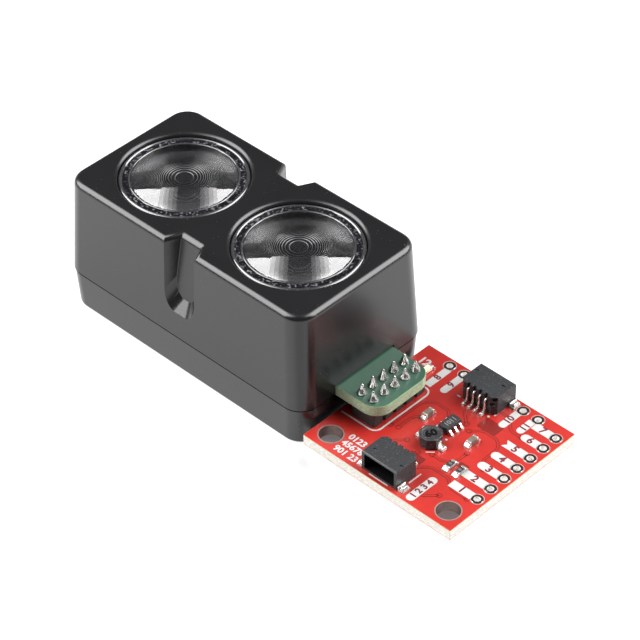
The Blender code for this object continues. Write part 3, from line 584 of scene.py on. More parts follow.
@cache
def lens_step():
    """The short steep faces between the grooves, frosted by their cutter."""
    return clouded("lens_step", (0.94, 0.95, 0.97), grey(1.0), (0.0005, 3.0, 0.6), (0.285, 0.315),
                   0.000001, IOR=1.55, Transmission_Weight=1.0, Specular_IOR_Level=0.9)


@cache
def lens_back():
    """The flat back of a lens, less clear than its front."""
    return clouded("lens_back", (0.93, 0.95, 0.97), grey(0.99), (0.0016, 3.0, 0.6), (0.08, 0.18),
                   0.000004, IOR=1.55, Transmission_Weight=1.0)


@cache
def lens_flange():
    """The rim of a lens, textured and dark where it is bonded down, with pale flecks that are partly painted
    glints.
    """
    look = Look("lens_flange", IOR=1.4, Specular_IOR_Level=0.10)
    bubbles = look.cells(0.00028)
    grit = look.noise(0.00016, 2.0, 0.7)
    # pale flecks: bonding bubbles and grit, and partly painted glints
    bright = look.ramp(bubbles + grit * 0.5, 0.92, 1.10)
    return look.feed(Base_Color=look.blend(bright, (0.004, 0.004, 0.005), (0.13, 0.13, 0.14)),
                     Roughness=0.24 + grit * 0.30,
                     Normal=look.bump(bubbles + grit * 0.6, 0.00002))


@cache
def lens_wall():
    """The frosted wall of the plug below a lens, streaked by its mould."""
    return clouded("lens_wall", (0.10, 0.10, 0.11), (0.42, 0.42, 0.44), (0.0005, 3.0, 0.7, (1.0, 1.0, 0.2)),
                   (0.30, 0.50), IOR=1.45, Specular_IOR_Level=0.5)


@cache
def lens_rim():
    """The polished raised rings of a lens: its outer edge, and the ridge round its grooves."""
    look = Look("lens_rim", IOR=1.6, Specular_IOR_Level=0.8, Coat_Roughness=0.06, Coat_IOR=1.5)
    cloud = look.noise(0.0009, 3.0, 0.6)
    scuff = look.ramp(look.noise(0.00035, 2.0, 0.6), 0.55, 0.72)
    return look.feed(Base_Color=look.blend(scuff, (0.028, 0.028, 0.030), (0.07, 0.07, 0.075)),
                     Roughness=0.10 + cloud * 0.08 + scuff * 0.12,
                     Coat_Weight=0.5 + cloud * 0.3,
                     Normal=look.bump(cloud + scuff * 0.4, 0.000006))


@cache
def barrel_plastic():
    """Matte black plastic of the light tubes, ribbed against stray light."""
    look = Look("barrel_plastic", IOR=1.45, Specular_IOR_Level=0.3)
    grain = look.noise(0.0002, 3.0)
    ribs = look.node("ShaderNodeTexWave", {"wave_type": 'BANDS', "bands_direction": 'Z'},
                     {"Vector": look.place, "Scale": 330.0, "Distortion": 0.0})
    return look.feed(Base_Color=look.blend(grain, grey(0.006), grey(0.014)),
                     Roughness=0.62 + grain * 0.25,
                     Normal=look.bump(Value(look.tree, ribs.outputs["Fac"]) + grain * 0.3, 0.00006))


def solder_mask(name, tone, gloss):
    """Glossy mask over a board: the cloth weave shows faintly, with small pits and flecks."""
    look = Look(name, IOR=1.52, Specular_IOR_Level=0.5, Coat_Roughness=0.12, Coat_IOR=1.5)
    weave_x = look.noise(0.0009, 1.0, 0.5, (1.0, 0.15, 1.0))
    weave_y = look.noise(0.0009, 1.0, 0.5, (0.15, 1.0, 1.0))
    cloud = look.noise(0.0035, 3.0, 0.6)
    fleck = look.ramp(look.noise(0.00022, 1.0), 0.74, 0.82)
    weave = (weave_x + weave_y) * 0.5
    base = look.blend(cloud * 0.6 + weave * 0.4, tinted(tone, 0.80), tinted(tone, 1.18))
    return look.feed(Base_Color=look.blend(fleck * 0.4, base, tinted(tone, 0.45)),
                     Roughness=0.30 + cloud * 0.12 + fleck * 0.2,
                     Coat_Weight=gloss + cloud * 0.1,
                     Normal=look.bump(weave * 0.5 + cloud + fleck * 0.3, 0.00001))


@cache
def red_mask():
    return solder_mask("red_mask", tuple(bpy.context.scene.scanner_boards.red), 0.25)


@cache
def covered_track():
    """The same red mask beside copper, darker."""
    return solder_mask("covered_track", tinted(tuple(bpy.context.scene.scanner_boards.red), 0.45), 0.25)


@cache
def green_mask():
    return solder_mask("green_mask", tuple(bpy.context.scene.scanner_boards.green), 0.2)


def laminate(name, core, dark, rim, node):
    """The cut edge of a board: glass cloth in layers, with the mask showing at both faces."""
    low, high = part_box(node)
    look = Look(name, IOR=1.5, Specular_IOR_Level=0.3)
    layers = look.noise(0.0006, 3.0, 0.65, (1.0, 1.0, 6.0))
    grit = look.noise(0.00016, 3.0, 0.7)
    height = look.along("Z")
    edge = 0.00010
    top = look.ramp(height, high.z - edge, high.z - edge * 0.5)
    bottom = 1 - look.ramp(height, low.z + edge * 0.5, low.z + edge)
    mottle = look.ramp(layers * 0.55 + grit * 0.45, 0.38, 0.66)
    return look.feed(Base_Color=look.blend(top + bottom, look.blend(mottle, dark, core), rim),
                     Roughness=0.72 + grit * 0.2,
                     Normal=look.bump(layers + grit * 0.8, 0.00003))


@cache
def red_board_edge():
    return laminate("red_board_edge", (0.84, 0.82, 0.77), (0.56, 0.53, 0.47), (0.55, 0.22, 0.09),
                    "breakout_board")


@cache
def green_board_edge():
    return laminate("green_board_edge", (0.52, 0.62, 0.41), (0.30, 0.37, 0.24), (0.20, 0.36, 0.19),
                    "main_board")


@cache
def print_ink():
    """White ink, slightly uneven, with its edges a little worn."""
    tone = tuple(bpy.context.scene.scanner_boards.ink)
    look = Look("print_ink", IOR=1.5, Specular_IOR_Level=0.35)
    cloud = look.noise(0.0008, 3.0, 0.6)
    grit = look.noise(0.00012, 2.0)
    return look.feed(Base_Color=look.blend(cloud, tinted(tone, 0.86), tone),
                     Roughness=0.5 + grit * 0.3,
                     Normal=look.bump(grit + cloud * 0.5, 0.000006))


@cache
def number_red():
    """Board red showing through the white labels."""
    return clouded("number_red", (0.085, 0.005, 0.010), (0.15, 0.010, 0.014), (0.0005, 3.0), (0.4, 0.6),
                   IOR=1.5)


@cache
def tinned_metal():
    """Tin plate: bright, with soft ripples and small dull spots."""
    look = Look("tinned_metal", Metallic=1.0)
    ripple = look.noise(0.0004, 3.0, 0.6)
    spot = look.ramp(look.noise(0.00015, 2.0), 0.55, 0.75)
    return look.feed(Base_Color=look.blend(spot, (0.60, 0.60, 0.58), (0.40, 0.39, 0.37)),
                     Roughness=0.22 + ripple * 0.14 + spot * 0.2,
                     Normal=look.bump(ripple + spot * 0.3, 0.000012))


@cache
def solder():
    """Solder: smooth and mirror-bright, with frosty patches and a trace of flux."""
    look = Look("solder", Metallic=1.0)
    ripple = look.noise(0.00028, 3.0, 0.6)
    frost = look.ramp(look.noise(0.00045, 3.0, 0.6), 0.48, 0.70)
    flux = look.ramp(look.noise(0.0003, 2.0), 0.60, 0.78)
    base = look.blend(frost, (0.60, 0.59, 0.57), (0.40, 0.39, 0.37))
    return look.feed(Base_Color=look.blend(flux * 0.5, base, (0.26, 0.20, 0.13)),
                     Roughness=0.18 + frost * 0.16,
                     Normal=look.bump(ripple + frost * 0.2, 0.000008))


@cache
def reflowed_tin():
    """Dull pale tin of the small parts' ends, half covered by the solder that has crept up them."""
    look = Look("reflowed_tin", Metallic=0.8)
    ripple = look.noise(0.0004, 3.0, 0.6)
    spot = look.ramp(look.noise(0.0003, 3.0, 0.6), 0.50, 0.66)
    return look.feed(Base_Color=look.blend(spot, (0.76, 0.75, 0.72), (0.34, 0.31, 0.26)),
                     Roughness=0.20 + ripple * 0.10 + spot * 0.14,
                     Normal=look.bump(ripple + spot * 0.2, 0.000009))


@cache
def plated_ring():
    """Plating round a wire hole: a smooth dark mirror, with a few scuffs."""
    look = Look("plated_ring", Metallic=1.0)
    stain = look.noise(0.0004, 3.0, 0.6)
    grit = look.noise(0.00012, 2.0)
    return look.feed(Base_Color=look.blend(stain, (0.24, 0.24, 0.23), (0.42, 0.41, 0.39)),
                     Roughness=0.14 + grit * 0.10,
                     Normal=look.bump(grit + stain, 0.000002))


@cache
def plated_wall():
    """Plating inside a wire hole: matt and pale, with darker specks."""
    look = Look("plated_wall", Metallic=0.35)
    stain = look.ramp(look.noise(0.00025, 3.0, 0.6), 0.50, 0.68)
    grit = look.noise(0.00012, 2.0)
    return look.feed(Base_Color=look.blend(stain, (0.96, 0.95, 0.93), (0.44, 0.41, 0.38)),
                     Roughness=0.45 + grit * 0.2,
                     Normal=look.bump(grit, 0.00001))


@cache
def mount_plating():
    """Plating inside a mounting hole, dark as painted shade in the hole."""
    look = Look("mount_plating", Metallic=0.8)
    stain = look.noise(0.0007, 3.0, 0.6)
    grit = look.noise(0.0002, 2.0)
    return look.feed(Base_Color=look.blend(stain, (0.09, 0.06, 0.055), (0.25, 0.18, 0.16)),
                     Roughness=0.32 + grit * 0.2,
                     Normal=look.bump(grit + stain, 0.00001))


@cache
def mount_rim():
    """The narrow pale ring round a mounting hole."""
    return clouded("mount_rim", (0.17, 0.10, 0.09), (0.26, 0.17, 0.15), (0.0005, 3.0), (0.45, 0.65), IOR=1.5)


def moulded(name, tone, grain_size, speck, depth, roughness):
    """Moulded resin with a grain and pale specks."""
    look = Look(name, IOR=1.5, Specular_IOR_Level=0.45)
    grain = look.noise(grain_size, 3.0, 0.65)
    fleck = look.ramp(look.noise(grain_size * 0.8, 2.0, 0.6), 0.60, 0.70)
    cloud = look.noise(grain_size * 12, 2.0)
    base = look.blend(cloud, tinted(tone, 0.8), tinted(tone, 1.25))
    return look.feed(Base_Color=look.blend(fleck * speck, base, (0.16, 0.16, 0.165)),
                     Roughness=roughness + grain * 0.18,
                     Normal=look.bump(grain, depth))


@cache
def connector_plastic():
    """Glass-filled black nylon of the sockets, speckled with fibre ends."""
    tone = tuple(bpy.context.scene.scanner_sockets.colour)
    return moulded("connector_plastic", tone, 0.00028, 0.45, 0.000022, 0.40)


@cache
def socket_inside():
    """The same nylon in the depth of a socket, dull, and darkened as painted shade."""
    return clouded("socket_inside", grey(0.002), (0.007, 0.007, 0.008), (0.00028, 3.0, 0.65),
                   (0.80, 0.95), IOR=1.3, Specular_IOR_Level=0.1)


@cache
def socket_lip():
    """The same nylon at the edge of the mouth: smoother, and lighter as a painted highlight."""
    return clouded("socket_lip", (0.020, 0.020, 0.022), (0.045, 0.045, 0.048), (0.0004, 3.0, 0.65),
                   (0.24, 0.36), IOR=1.5, Specular_IOR_Level=0.6)


@cache
def header_plastic():
    """Black plastic of the strip between the boards."""
    return moulded("header_plastic", (0.014, 0.013, 0.014), 0.0002, 0.25, 0.00001, 0.36)


@cache
def chip_resin():
    """Fine-grained black resin of the chips."""
    return moulded("chip_resin", (0.018, 0.018, 0.020), 0.00009, 0.30, 0.000008, 0.38)


@cache
def ferrite():
    """Pressed ferrite: rough, with glints of its grains."""
    return moulded("ferrite", (0.020, 0.020, 0.022), 0.00024, 0.85, 0.00004, 0.36)


def fired(name, light, dark):
    """Fired ceramic: fine speckle and a soft sheen."""
    look = Look(name, IOR=1.55, Specular_IOR_Level=0.5)
    speckle = look.noise(0.00008, 3.0, 0.7)
    cloud = look.noise(0.0006, 2.0)
    return look.feed(Base_Color=look.blend(speckle * 0.6 + cloud * 0.4, dark, light),
                     Roughness=0.34 + speckle * 0.2,
                     Normal=look.bump(speckle, 0.000008))


@cache
def capacitor_ceramic():
    return fired("capacitor_ceramic", (0.20, 0.17, 0.13), (0.055, 0.045, 0.034))


@cache
def resistor_glaze():
    return fired("resistor_glaze", (0.030, 0.030, 0.032), (0.010, 0.010, 0.011))


@cache
def resistor_ceramic():
    return fired("resistor_ceramic", (0.42, 0.42, 0.41), (0.30, 0.30, 0.29))


@cache
def led_resin():
    """Milky yellow resin of the power light."""
    return clouded("led_resin", (0.88, 0.82, 0.52), (0.93, 0.90, 0.72), (0.0004, 3.0), (0.22, 0.37),
                   IOR=1.5, Subsurface_Weight=0.4, Subsurface_Scale=0.0003)


@cache
def emitter_glass():
    """Smoky clear resin over the emitter and the photodiode."""
    return clouded("emitter_glass", (0.35, 0.30, 0.42), (0.55, 0.50, 0.60), (0.0006, 3.0), (0.08, 0.18),
                   IOR=1.52, Transmission_Weight=0.6)


@cache
def burnt_mark():
    """Sooty black of a number burnt into a core."""
    return clouded("burnt_mark", grey(0.003), grey(0.008), (0.0003, 3.0), (0.85, 0.95),
                   IOR=1.3, Specular_IOR_Level=0.1)


@cache
def chip_mark():
    """Pale grey marking on a dark part."""
    return clouded("chip_mark", grey(0.09), grey(0.20), (0.0003, 3.0), (0.5, 0.7),
                   IOR=1.5, Specular_IOR_Level=0.3)


# ---------------------------------------------------------------- places taken from the frame
def centre_of(node):
    low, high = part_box(node)
    return (low + high) / 2


RIM_INSET = 0.52 * MM               # the raised rim of a lens
RIDGE_WIDTH = 0.30 * MM             # the low ridge round a lens's grooves
SEAT_GAP = 0.05 * MM                # a lens and the ledge under it
SLOT_CLEARANCE = 0.25 * MM          # the tab and the slot round it
COVER_INSET = 0.1 * MM              # the cover's side stands back from the housing's
FRONT_DRAFT = 0.0455                # lean of the housing's sides, per unit of height
COVER_DRAFT = 0.05
SEAM_SHADOW = 0.06 * MM             # each shell's edge stands back this much from the seam


def tab_half_width():
    """Half the width of the tab, which is the main board's widest part past the housing."""
    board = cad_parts["main_board"].data
    end_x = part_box("front_housing")[1].x
    return max(vert.co.y for vert in board.vertices if vert.co.x > end_x)


def tab_slot(top_z):
    """The way out for the tab, up to a level."""
    board_low, board_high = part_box("main_board")
    half = tab_half_width() + SLOT_CLEARANCE
    start_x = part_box("front_housing")[1].x - 4 * MM
    return block("tab_slot", (start_x, -half, board_low.z - SLOT_CLEARANCE), (board_high.x, half, top_z))


def drafted_block(name, half_x, half_y, low_z, high_z, lean, corner_radius, steps):
    """A box whose sides lean on the way up, with round upright corners."""
    piece = block(name, (-half_x, -half_y, low_z), (half_x, half_y, high_z))
    with shaping(piece):
        pick(piece, 'FACE', facing_up)
        stretch((1 + lean / half_x, 1 + lean / half_y, 1.0), (0, 0, high_z))
        ease(piece, upright, corner_radius, steps)
    return piece


# ---------------------------------------------------------------- housing
class SCANNER_OT_front_housing(Operator):
    """Model the front housing: drafted shell, grip notches, lens recesses and the slot for the tab"""
    bl_idname = "scanner.front_housing"
    bl_label = "Front housing"

    def execute(self, context):
        sizes = context.scene.scanner_housing
        low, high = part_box("front_housing")
        lean = FRONT_DRAFT * (high.z - low.z)
        seam_x, seam_y = high.x, high.y
        shell = drafted_block("front_housing" + DETAIL, seam_x, seam_y, low.z + SEAM_SHADOW, high.z, -lean,
                              sizes.corner_radius, 12)
        for side in (-1, 1):
            combine(shell, self.notch(sizes, side, seam_y - lean, high.z))
        with shaping(shell):
            ease(shell, level(high.z), sizes.edge_radius, 6, clamp=False)
        combine(shell, self.room(sizes, seam_x, seam_y, low.z))
        for node in ("transmit_lens", "receive_lens"):
            combine(shell, self.recess(node, high.z))
        combine(shell, tab_slot(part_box("main_board")[1].z + SLOT_CLEARANCE))
        paint(shell, housing_plastic())
        finish(shell, ["front_housing"])
        return {'FINISHED'}

    def notch(self, sizes, side, top_y, top_z):
        """The tool for one grip notch: side -1 is the near long side and 1 the far one.

        Its back wall leans more than the housing's side, and ends in a ramp that runs out to the side.
        """
        back_lean = 0.146               # per unit of height, as the drafts are
        slope = math.tan(math.radians(52))
        flare = (sizes.notch_mouth - sizes.notch_back) / 2 / sizes.notch_depth
        reach = sizes.notch_depth
        over_z = top_z + reach
        shallow = back_lean - FRONT_DRAFT
        foot_depth = (sizes.notch_depth - shallow * (top_z - sizes.notch_foot)) / (1 - shallow * slope)
        ramp_z = sizes.notch_foot + foot_depth * slope
        low_z = sizes.notch_foot - reach * slope

        def face_y(z):
            return top_y + FRONT_DRAFT * (top_z - z)

        def back_y(z):
            return top_y - sizes.notch_depth + back_lean * (top_z - z)

        corners = [(back_y(over_z), over_z), (face_y(over_z) + reach, over_z),
                   (face_y(low_z) + reach, low_z), (back_y(ramp_z), ramp_z)]
        tool = drawn_out("notch_tool", [(-MM, side * y, z) for y, z in corners], (2 * MM, 0, 0))
        with shaping(tool):
            for y, z in corners:
                half = sizes.notch_mouth / 2 + (y - face_y(z)) * flare
                middle = Vector((0, side * y, z))
                pick(tool, 'EDGE', lambda a, b, middle=middle: ((a + b) / 2 - middle).length < TINY)
                stretch((half / MM, 1.0, 1.0), middle)
            foot = {round(low_z, 6), round(ramp_z, 6)}
            ease(tool, lambda a, b: {round(a.z, 6), round(b.z, 6)} == foot, sizes.notch_round, 10)
            ease(tool, lambda a, b: min(a.z, b.z) > ramp_z - TINY and upright(a, b)
                 and max(abs(a.y), abs(b.y)) < face_y(ramp_z), 0.45 * MM, 5)
            face_outwards()
        return tool

    def room(self, sizes, seam_x, seam_y, seam_z):
        """The tool for the hollow inside, which leaves a wall behind each notch."""
        ceiling_z = self.ledge_z() - 0.6 * MM
        low_z = seam_z - sizes.wall
        inset = sizes.wall * (1 - FRONT_DRAFT)
        tool = drafted_block("room_tool", seam_x - inset, seam_y - inset, low_z, ceiling_z,
                             -FRONT_DRAFT * (ceiling_z - low_z), sizes.corner_radius - sizes.wall, 4)
        wall = 1.1 * MM
        inner_y = seam_y - FRONT_DRAFT * (ceiling_z - seam_z) - sizes.notch_depth - wall
        back, mouth = sizes.notch_back / 2 + wall, sizes.notch_mouth / 2 + wall
        foot_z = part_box("rear_cover")[1].z + 0.1 * MM
        for side in (-1, 1):
            outline = [(-back, side * inner_y, foot_z), (back, side * inner_y, foot_z),
                       (mouth, side * seam_y, foot_z), (-mouth, side * seam_y, foot_z)]
            combine(tool, drawn_out("boss_tool", outline, (0, 0, ceiling_z - foot_z + wall)))
        return tool

    def ledge_z(self):
        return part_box("transmit_lens")[0].z - SEAT_GAP

    def recess(self, node, top_z):
        """The tool for the stepped hole that a lens drops into, with its rounded mouth."""
        low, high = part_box(node)
        radius = (high.y - low.y) / 2 + 0.1 * MM
        wide, deep, lift = 0.65 * MM, 0.5 * MM, 0.008 * MM
        opening = radius - 0.7 * MM
        ledge_z = self.ledge_z()
        below = ledge_z - 1.2 * MM
        profile = [(0.0, top_z + MM), (radius + wide, top_z + MM)]
        profile += arc((radius + wide, top_z + lift - deep), (wide, deep), 0, -90, 8)
        profile += [(radius, ledge_z), (opening, ledge_z), (opening, below), (0.0, below)]
        return spun("recess_tool", centre_of(node), profile, 96)


class SCANNER_OT_rear_cover(Operator):
    """Model the rear cover: a tray with a raised spigot, and posts under the main board"""
    bl_idname = "scanner.rear_cover"
    bl_label = "Rear cover"

    def execute(self, context):
        sizes = context.scene.scanner_housing
        low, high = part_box("rear_cover")
        clearance = 0.1 * MM            # between the two shells
        top_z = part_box("front_housing")[0].z - clearance - 2 * SEAM_SHADOW
        lean = COVER_DRAFT * top_z
        cover = drafted_block("rear_cover" + DETAIL, high.x - lean, high.y - lean, low.z, top_z, lean,
                              sizes.corner_radius, 12)
        with shaping(cover):
            ease(cover, level(low.z), sizes.foot_radius, 6)
            ease(cover, level(top_z), SEAM_SHADOW, 2)
        overlap = 1.4 * MM              # of the spigot and the housing's wall
        inset = sizes.wall + FRONT_DRAFT * overlap + clearance - COVER_INSET
        rim_x, rim_y, rim_wall = high.x - inset, high.y - inset, 0.8 * MM
        spigot = drafted_block("spigot", rim_x, rim_y, top_z - sizes.wall, high.z, 0.0,
                               sizes.corner_radius - sizes.wall, 6)
        combine(cover, spigot, 'UNION')
        combine(cover, drafted_block("tray_tool", rim_x - rim_wall, rim_y - rim_wall, sizes.wall,
                                     high.z + rim_wall, 0.0, 0.6 * MM, 4))
        board_low, board_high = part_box("main_board")
        post_inset, post_radius, post_top = 1.6 * MM, 1.3 * MM, board_low.z - SEAT_GAP
        post_x, post_y = -board_low.x - post_inset, board_high.y - post_inset
        for x, y in ((-post_x, -post_y), (-post_x, post_y), (post_x, -post_y), (post_x, post_y)):
            post = rod("post", (x, y), post_radius, sizes.wall / 2, post_top, 24)
            with shaping(post):
                ease(post, level(post_top), 0.15 * MM, 2)
            combine(cover, post, 'UNION')
        combine(cover, tab_slot(high.z + SLOT_CLEARANCE))
        paint(cover, housing_plastic())
        finish(cover, ["rear_cover"])
        return {'FINISHED'}


class SCANNER_OT_lenses(Operator):
    """Model the two clear lenses, with ring grooves of even depth inside a plain rim"""
    bl_idname = "scanner.lenses"
    bl_label = "Lenses"

    def execute(self, context):
        sizes = context.scene.scanner_lens
        low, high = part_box("transmit_lens")
        radius = (high.y - low.y) / 2
        middle = centre_of("transmit_lens")
        disc = spun("transmit_lens" + DETAIL, middle, self.profile(sizes, radius, low.z, high.z), sizes.sides)
        groove_radius = radius - sizes.rim_width

        def outward(place):
            return Vector((place.x - middle.x, place.y - middle.y, 0.0))

        def on_rim(place, normal):
            """The raised rim at the edge, or the low ridge round the grooves."""
            past_grooves = outward(place).length - groove_radius
            ridge = place.z > high.z - 0.11 * MM and 0 < past_grooves < RIDGE_WIDTH
            return normal.z > 0.1 and (ridge or past_grooves > sizes.rim_width - RIM_INSET)

        def on_step(place, normal):
            """The short steep faces between the grooves, which look towards the middle."""
            return normal.z > 0.3 and normal.dot(outward(place).normalized()) < -0.25

        paint(disc, lens_plastic())
        paint(disc, lens_step(), on_step)
        paint(disc, lens_back(), lambda place, normal: normal.z < -0.9)
        paint(disc, lens_flange(), lambda place, normal: outward(place).length > groove_radius)
        paint(disc, lens_rim(), on_rim)
        paint(disc, lens_wall(), lambda place, normal: abs(normal.z) < 0.3 and place.z < low.z)
        apart = centre_of("receive_lens") - middle
        other = twin(disc, "receive_lens" + DETAIL, moved(apart.x, apart.y))
        for node, piece in (("transmit_lens", disc), ("receive_lens", other)):
            finish(piece, [node], math.radians(7.5))
        return {'FINISHED'}

    def profile(self, sizes, radius, back_z, face_z):
        """Grooves of even depth whose faces grow steeper, and so narrower, towards the rim."""
        depth = sizes.groove_depth
        half_slope = sizes.groove_slope / 2
        groove_radius = radius - sizes.rim_width
        zones = int(half_slope * groove_radius ** 2 / depth)
        first = math.sqrt(depth / half_slope)
        drop = 0.10 * MM                    # top of the grooves below the rim
        top_z, floor_z = face_z - drop, face_z - 0.12 * MM
        points = [(0.0, top_z), (first / 2, top_z - depth / 4)]
        for zone in range(1, zones + 1):
            ring = first * math.sqrt(zone)
            width = ring - first * math.sqrt(zone - 1)
            step = max(0.024 * MM, (0.092 - 0.007 * zone) * MM)
            points += [(ring - step, top_z - depth * (1 - step / width)), (ring, top_z)]
        lean = 60                           # slope of the ridge at its feet, in degrees
        reach = RIDGE_WIDTH / 2 / math.sin(math.radians(lean))
        rise = drop / (1 - math.cos(math.radians(lean)))
        points += arc((groove_radius + RIDGE_WIDTH / 2, face_z - rise), (reach, rise), -lean, lean, 6)
        inner = radius - RIM_INSET
        points += [(groove_radius + RIDGE_WIDTH + 0.01 * MM, floor_z), (inner, floor_z),
                   (inner + 0.08 * MM, face_z - 0.04 * MM)]
        crest = inner + 0.14 * MM
        spread = 52                         # turn of the rim's rounded edge, in degrees
        rounding = (radius - 0.01 * MM - crest) / math.sin(math.radians(spread))
        points += arc((crest, face_z - rounding), (rounding, rounding), 0, spread, 9)
        opening = radius - 0.8 * MM
        plug_z = back_z - 0.5 * MM
        points += [(radius, face_z - 0.3 * MM), (radius, back_z), (opening, back_z), (opening, plug_z),
                   (0.0, plug_z)]
        return points


# ---------------------------------------------------------------- main board and header
PIN_RADIUS = 0.27 * MM
PIN_HOLE = 0.37 * MM                # radius of a pin's hole in a board


def pin_nodes():
    return sorted(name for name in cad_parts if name.startswith("header_pin_"))


def drill(piece, places, radius, sides):
    """Drill holes right through a board."""
    low_z = min(vert.co.z for vert in piece.data.vertices) - MM
    high_z = max(vert.co.z for vert in piece.data.vertices) + MM
    bits = [rod("drill_bit", place, radius, low_z, high_z, sides) for place in places]
    combine(piece, join("drill_bits", bits))


class SCANNER_OT_main_board(Operator):
    """Model the green main board, whose round-cornered tab comes out of the housing"""
    bl_idname = "scanner.main_board"
    bl_label = "Main board"

    def execute(self, context):
        low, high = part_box("main_board")
        tab = tab_half_width()
        root_x = -low.x
        tab_corner, corner, edge = 2.5 * MM, 0.6 * MM, 0.05 * MM
        outline = [(low.x, low.y), (root_x, low.y), (root_x, -tab), (high.x, -tab), (high.x, tab),
                   (root_x, tab), (root_x, high.y), (low.x, high.y)]
        board = drawn_out("main_board" + DETAIL, [(x, y, low.z) for x, y in outline], (0, 0, high.z - low.z))
        with shaping(board):
            ease(board, lambda a, b: upright(a, b) and a.x > high.x - TINY, tab_corner, 10)
            ease(board, lambda a, b: upright(a, b) and abs(a.y) > high.y - TINY, corner, 4)
            ease(board, level(high.z), edge, 1)
        drill(board, [centre_of(node) for node in pin_nodes()], PIN_HOLE, 20)
        paint(board, green_mask())
        paint(board, green_board_edge(), on_side)
        finish(board, ["main_board"])
        return {'FINISHED'}


class SCANNER_OT_header(Operator):
    """Model the header between the boards: ribbed insulator, pins and their solder"""
    bl_idname = "scanner.header"
    bl_label = "Header"

    def execute(self, context):
        self.insulator()
        nodes = pin_nodes()
        start = centre_of(nodes[0])
        first = self.pin(nodes[0], start)
        pins = [first]
        for node in nodes[1:]:
            apart = centre_of(node) - start
            pins.append(twin(first, node + DETAIL, moved(apart.x, apart.y)))
        upper_cone_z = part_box("main_board")[1].z + 0.08 * MM
        uneven = 0.05 * MM
        for seed, (node, pin) in enumerate(zip(nodes, pins), start=3):
            with shaping(pin):
                pick(pin, 'VERT', lambda place: place.z > upper_cone_z)
                bpy.ops.transform.vertex_random(offset=uneven, uniform=1.0, normal=0.0, seed=seed)
            modify(pin, 'SUBSURF', levels=1, render_levels=1)
            paint(pin, solder())
            finish(pin, [node], math.radians(80))
        return {'FINISHED'}

    def insulator(self):
        """A moulded strip, pinched between each pair of pins."""
        low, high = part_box("header_insulator")
        nodes = pin_nodes()
        corner = nick = 0.3 * MM
        piece = block("header_insulator" + DETAIL, low, high)
        with shaping(piece):
            ease(piece, upright, corner, 2)
        rows = sorted({round(centre_of(node).y, 6) for node in nodes})
        for y in [(a + b) / 2 for a, b in zip(rows, rows[1:])]:
            for x, way in ((low.x, -nick), (high.x, nick)):
                corners = [(x + way, y - 2 * nick), (x - way, y), (x + way, y + 2 * nick)]
                outline = [(corner_x, corner_y, low.z - nick) for corner_x, corner_y in corners]
                combine(piece, drawn_out("nick_tool", outline, (0, 0, high.z - low.z + 2 * nick)))
        drill(piece, [centre_of(node) for node in nodes], PIN_HOLE, 16)
        paint(piece, header_plastic())
        finish(piece, ["header_insulator"])

    def pin(self, node, place):
        """A pin with a drawn-up cone of solder above the tab and below the breakout board."""
        low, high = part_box(node)
        proud = 0.01 * MM               # a cone's foot stands this much off its board
        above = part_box("main_board")[1].z + proud
        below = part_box("breakout_board")[0].z - proud
        foot = (high.x - low.x) / 2
        start = [(0.0, low.z), (0.14 * MM, low.z), (PIN_RADIUS, low.z + 0.12 * MM)]
        lower_cone = [(PIN_RADIUS, below - 0.75 * MM), (0.40 * MM, below - 0.35 * MM), (foot, below)]
        shank = [(PIN_RADIUS, below), (PIN_RADIUS, above)]
        upper_cone = [(foot, above), (foot, above + 0.05 * MM), (foot * 0.96, above + 0.16 * MM),
                      (0.58 * MM, above + 0.42 * MM), (0.42 * MM, above + 0.72 * MM),
                      (0.28 * MM, above + 1.05 * MM)]
        tip = [(0.17 * MM, high.z - 0.06 * MM), (0.08 * MM, high.z), (0.0, high.z)]
        return spun(node + DETAIL, place, start + lower_cone + shank + upper_cone + tip, 14)


# ---------------------------------------------------------------- breakout board
WIRE_EDGE = 1.27 * MM
WIRE_PITCH = 2.54 * MM
END_ROW_MIDDLE = 2.1 * MM
END_ROW_HOLES = 7
SIDE_ROW = (4.90 * MM, 7.44 * MM, 17.68 * MM, 20.22 * MM)     # from the housing end of the board
WIRE_HOLE = 0.51 * MM               # radius
MOUNT_INSET = 2.54 * MM
MOUNT_HOLE = 1.65 * MM              # radius


def end_row():
    """Places of the wire holes along the free end, from the near side."""
    end_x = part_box("breakout_board")[1].x - WIRE_EDGE
    return [(end_x, END_ROW_MIDDLE + (hole - (END_ROW_HOLES - 1) / 2) * WIRE_PITCH)
            for hole in range(END_ROW_HOLES)]


def side_row():
    """Places of the wire holes along the far side, from the housing."""
    low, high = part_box("breakout_board")
    return [(low.x + offset, high.y - WIRE_EDGE) for offset in SIDE_ROW]


def mount_holes():
    low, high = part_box("breakout_board")
    return [(low.x + MOUNT_INSET, low.y + MOUNT_INSET), (high.x - MOUNT_INSET, low.y + MOUNT_INSET)]


def on_board(x, y, lift=0.0):
    """A point on the board's face, from the housing end and from the middle line, in millimetres."""
    low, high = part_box("breakout_board")
    return Vector((low.x + x * MM, y * MM, high.z + lift))


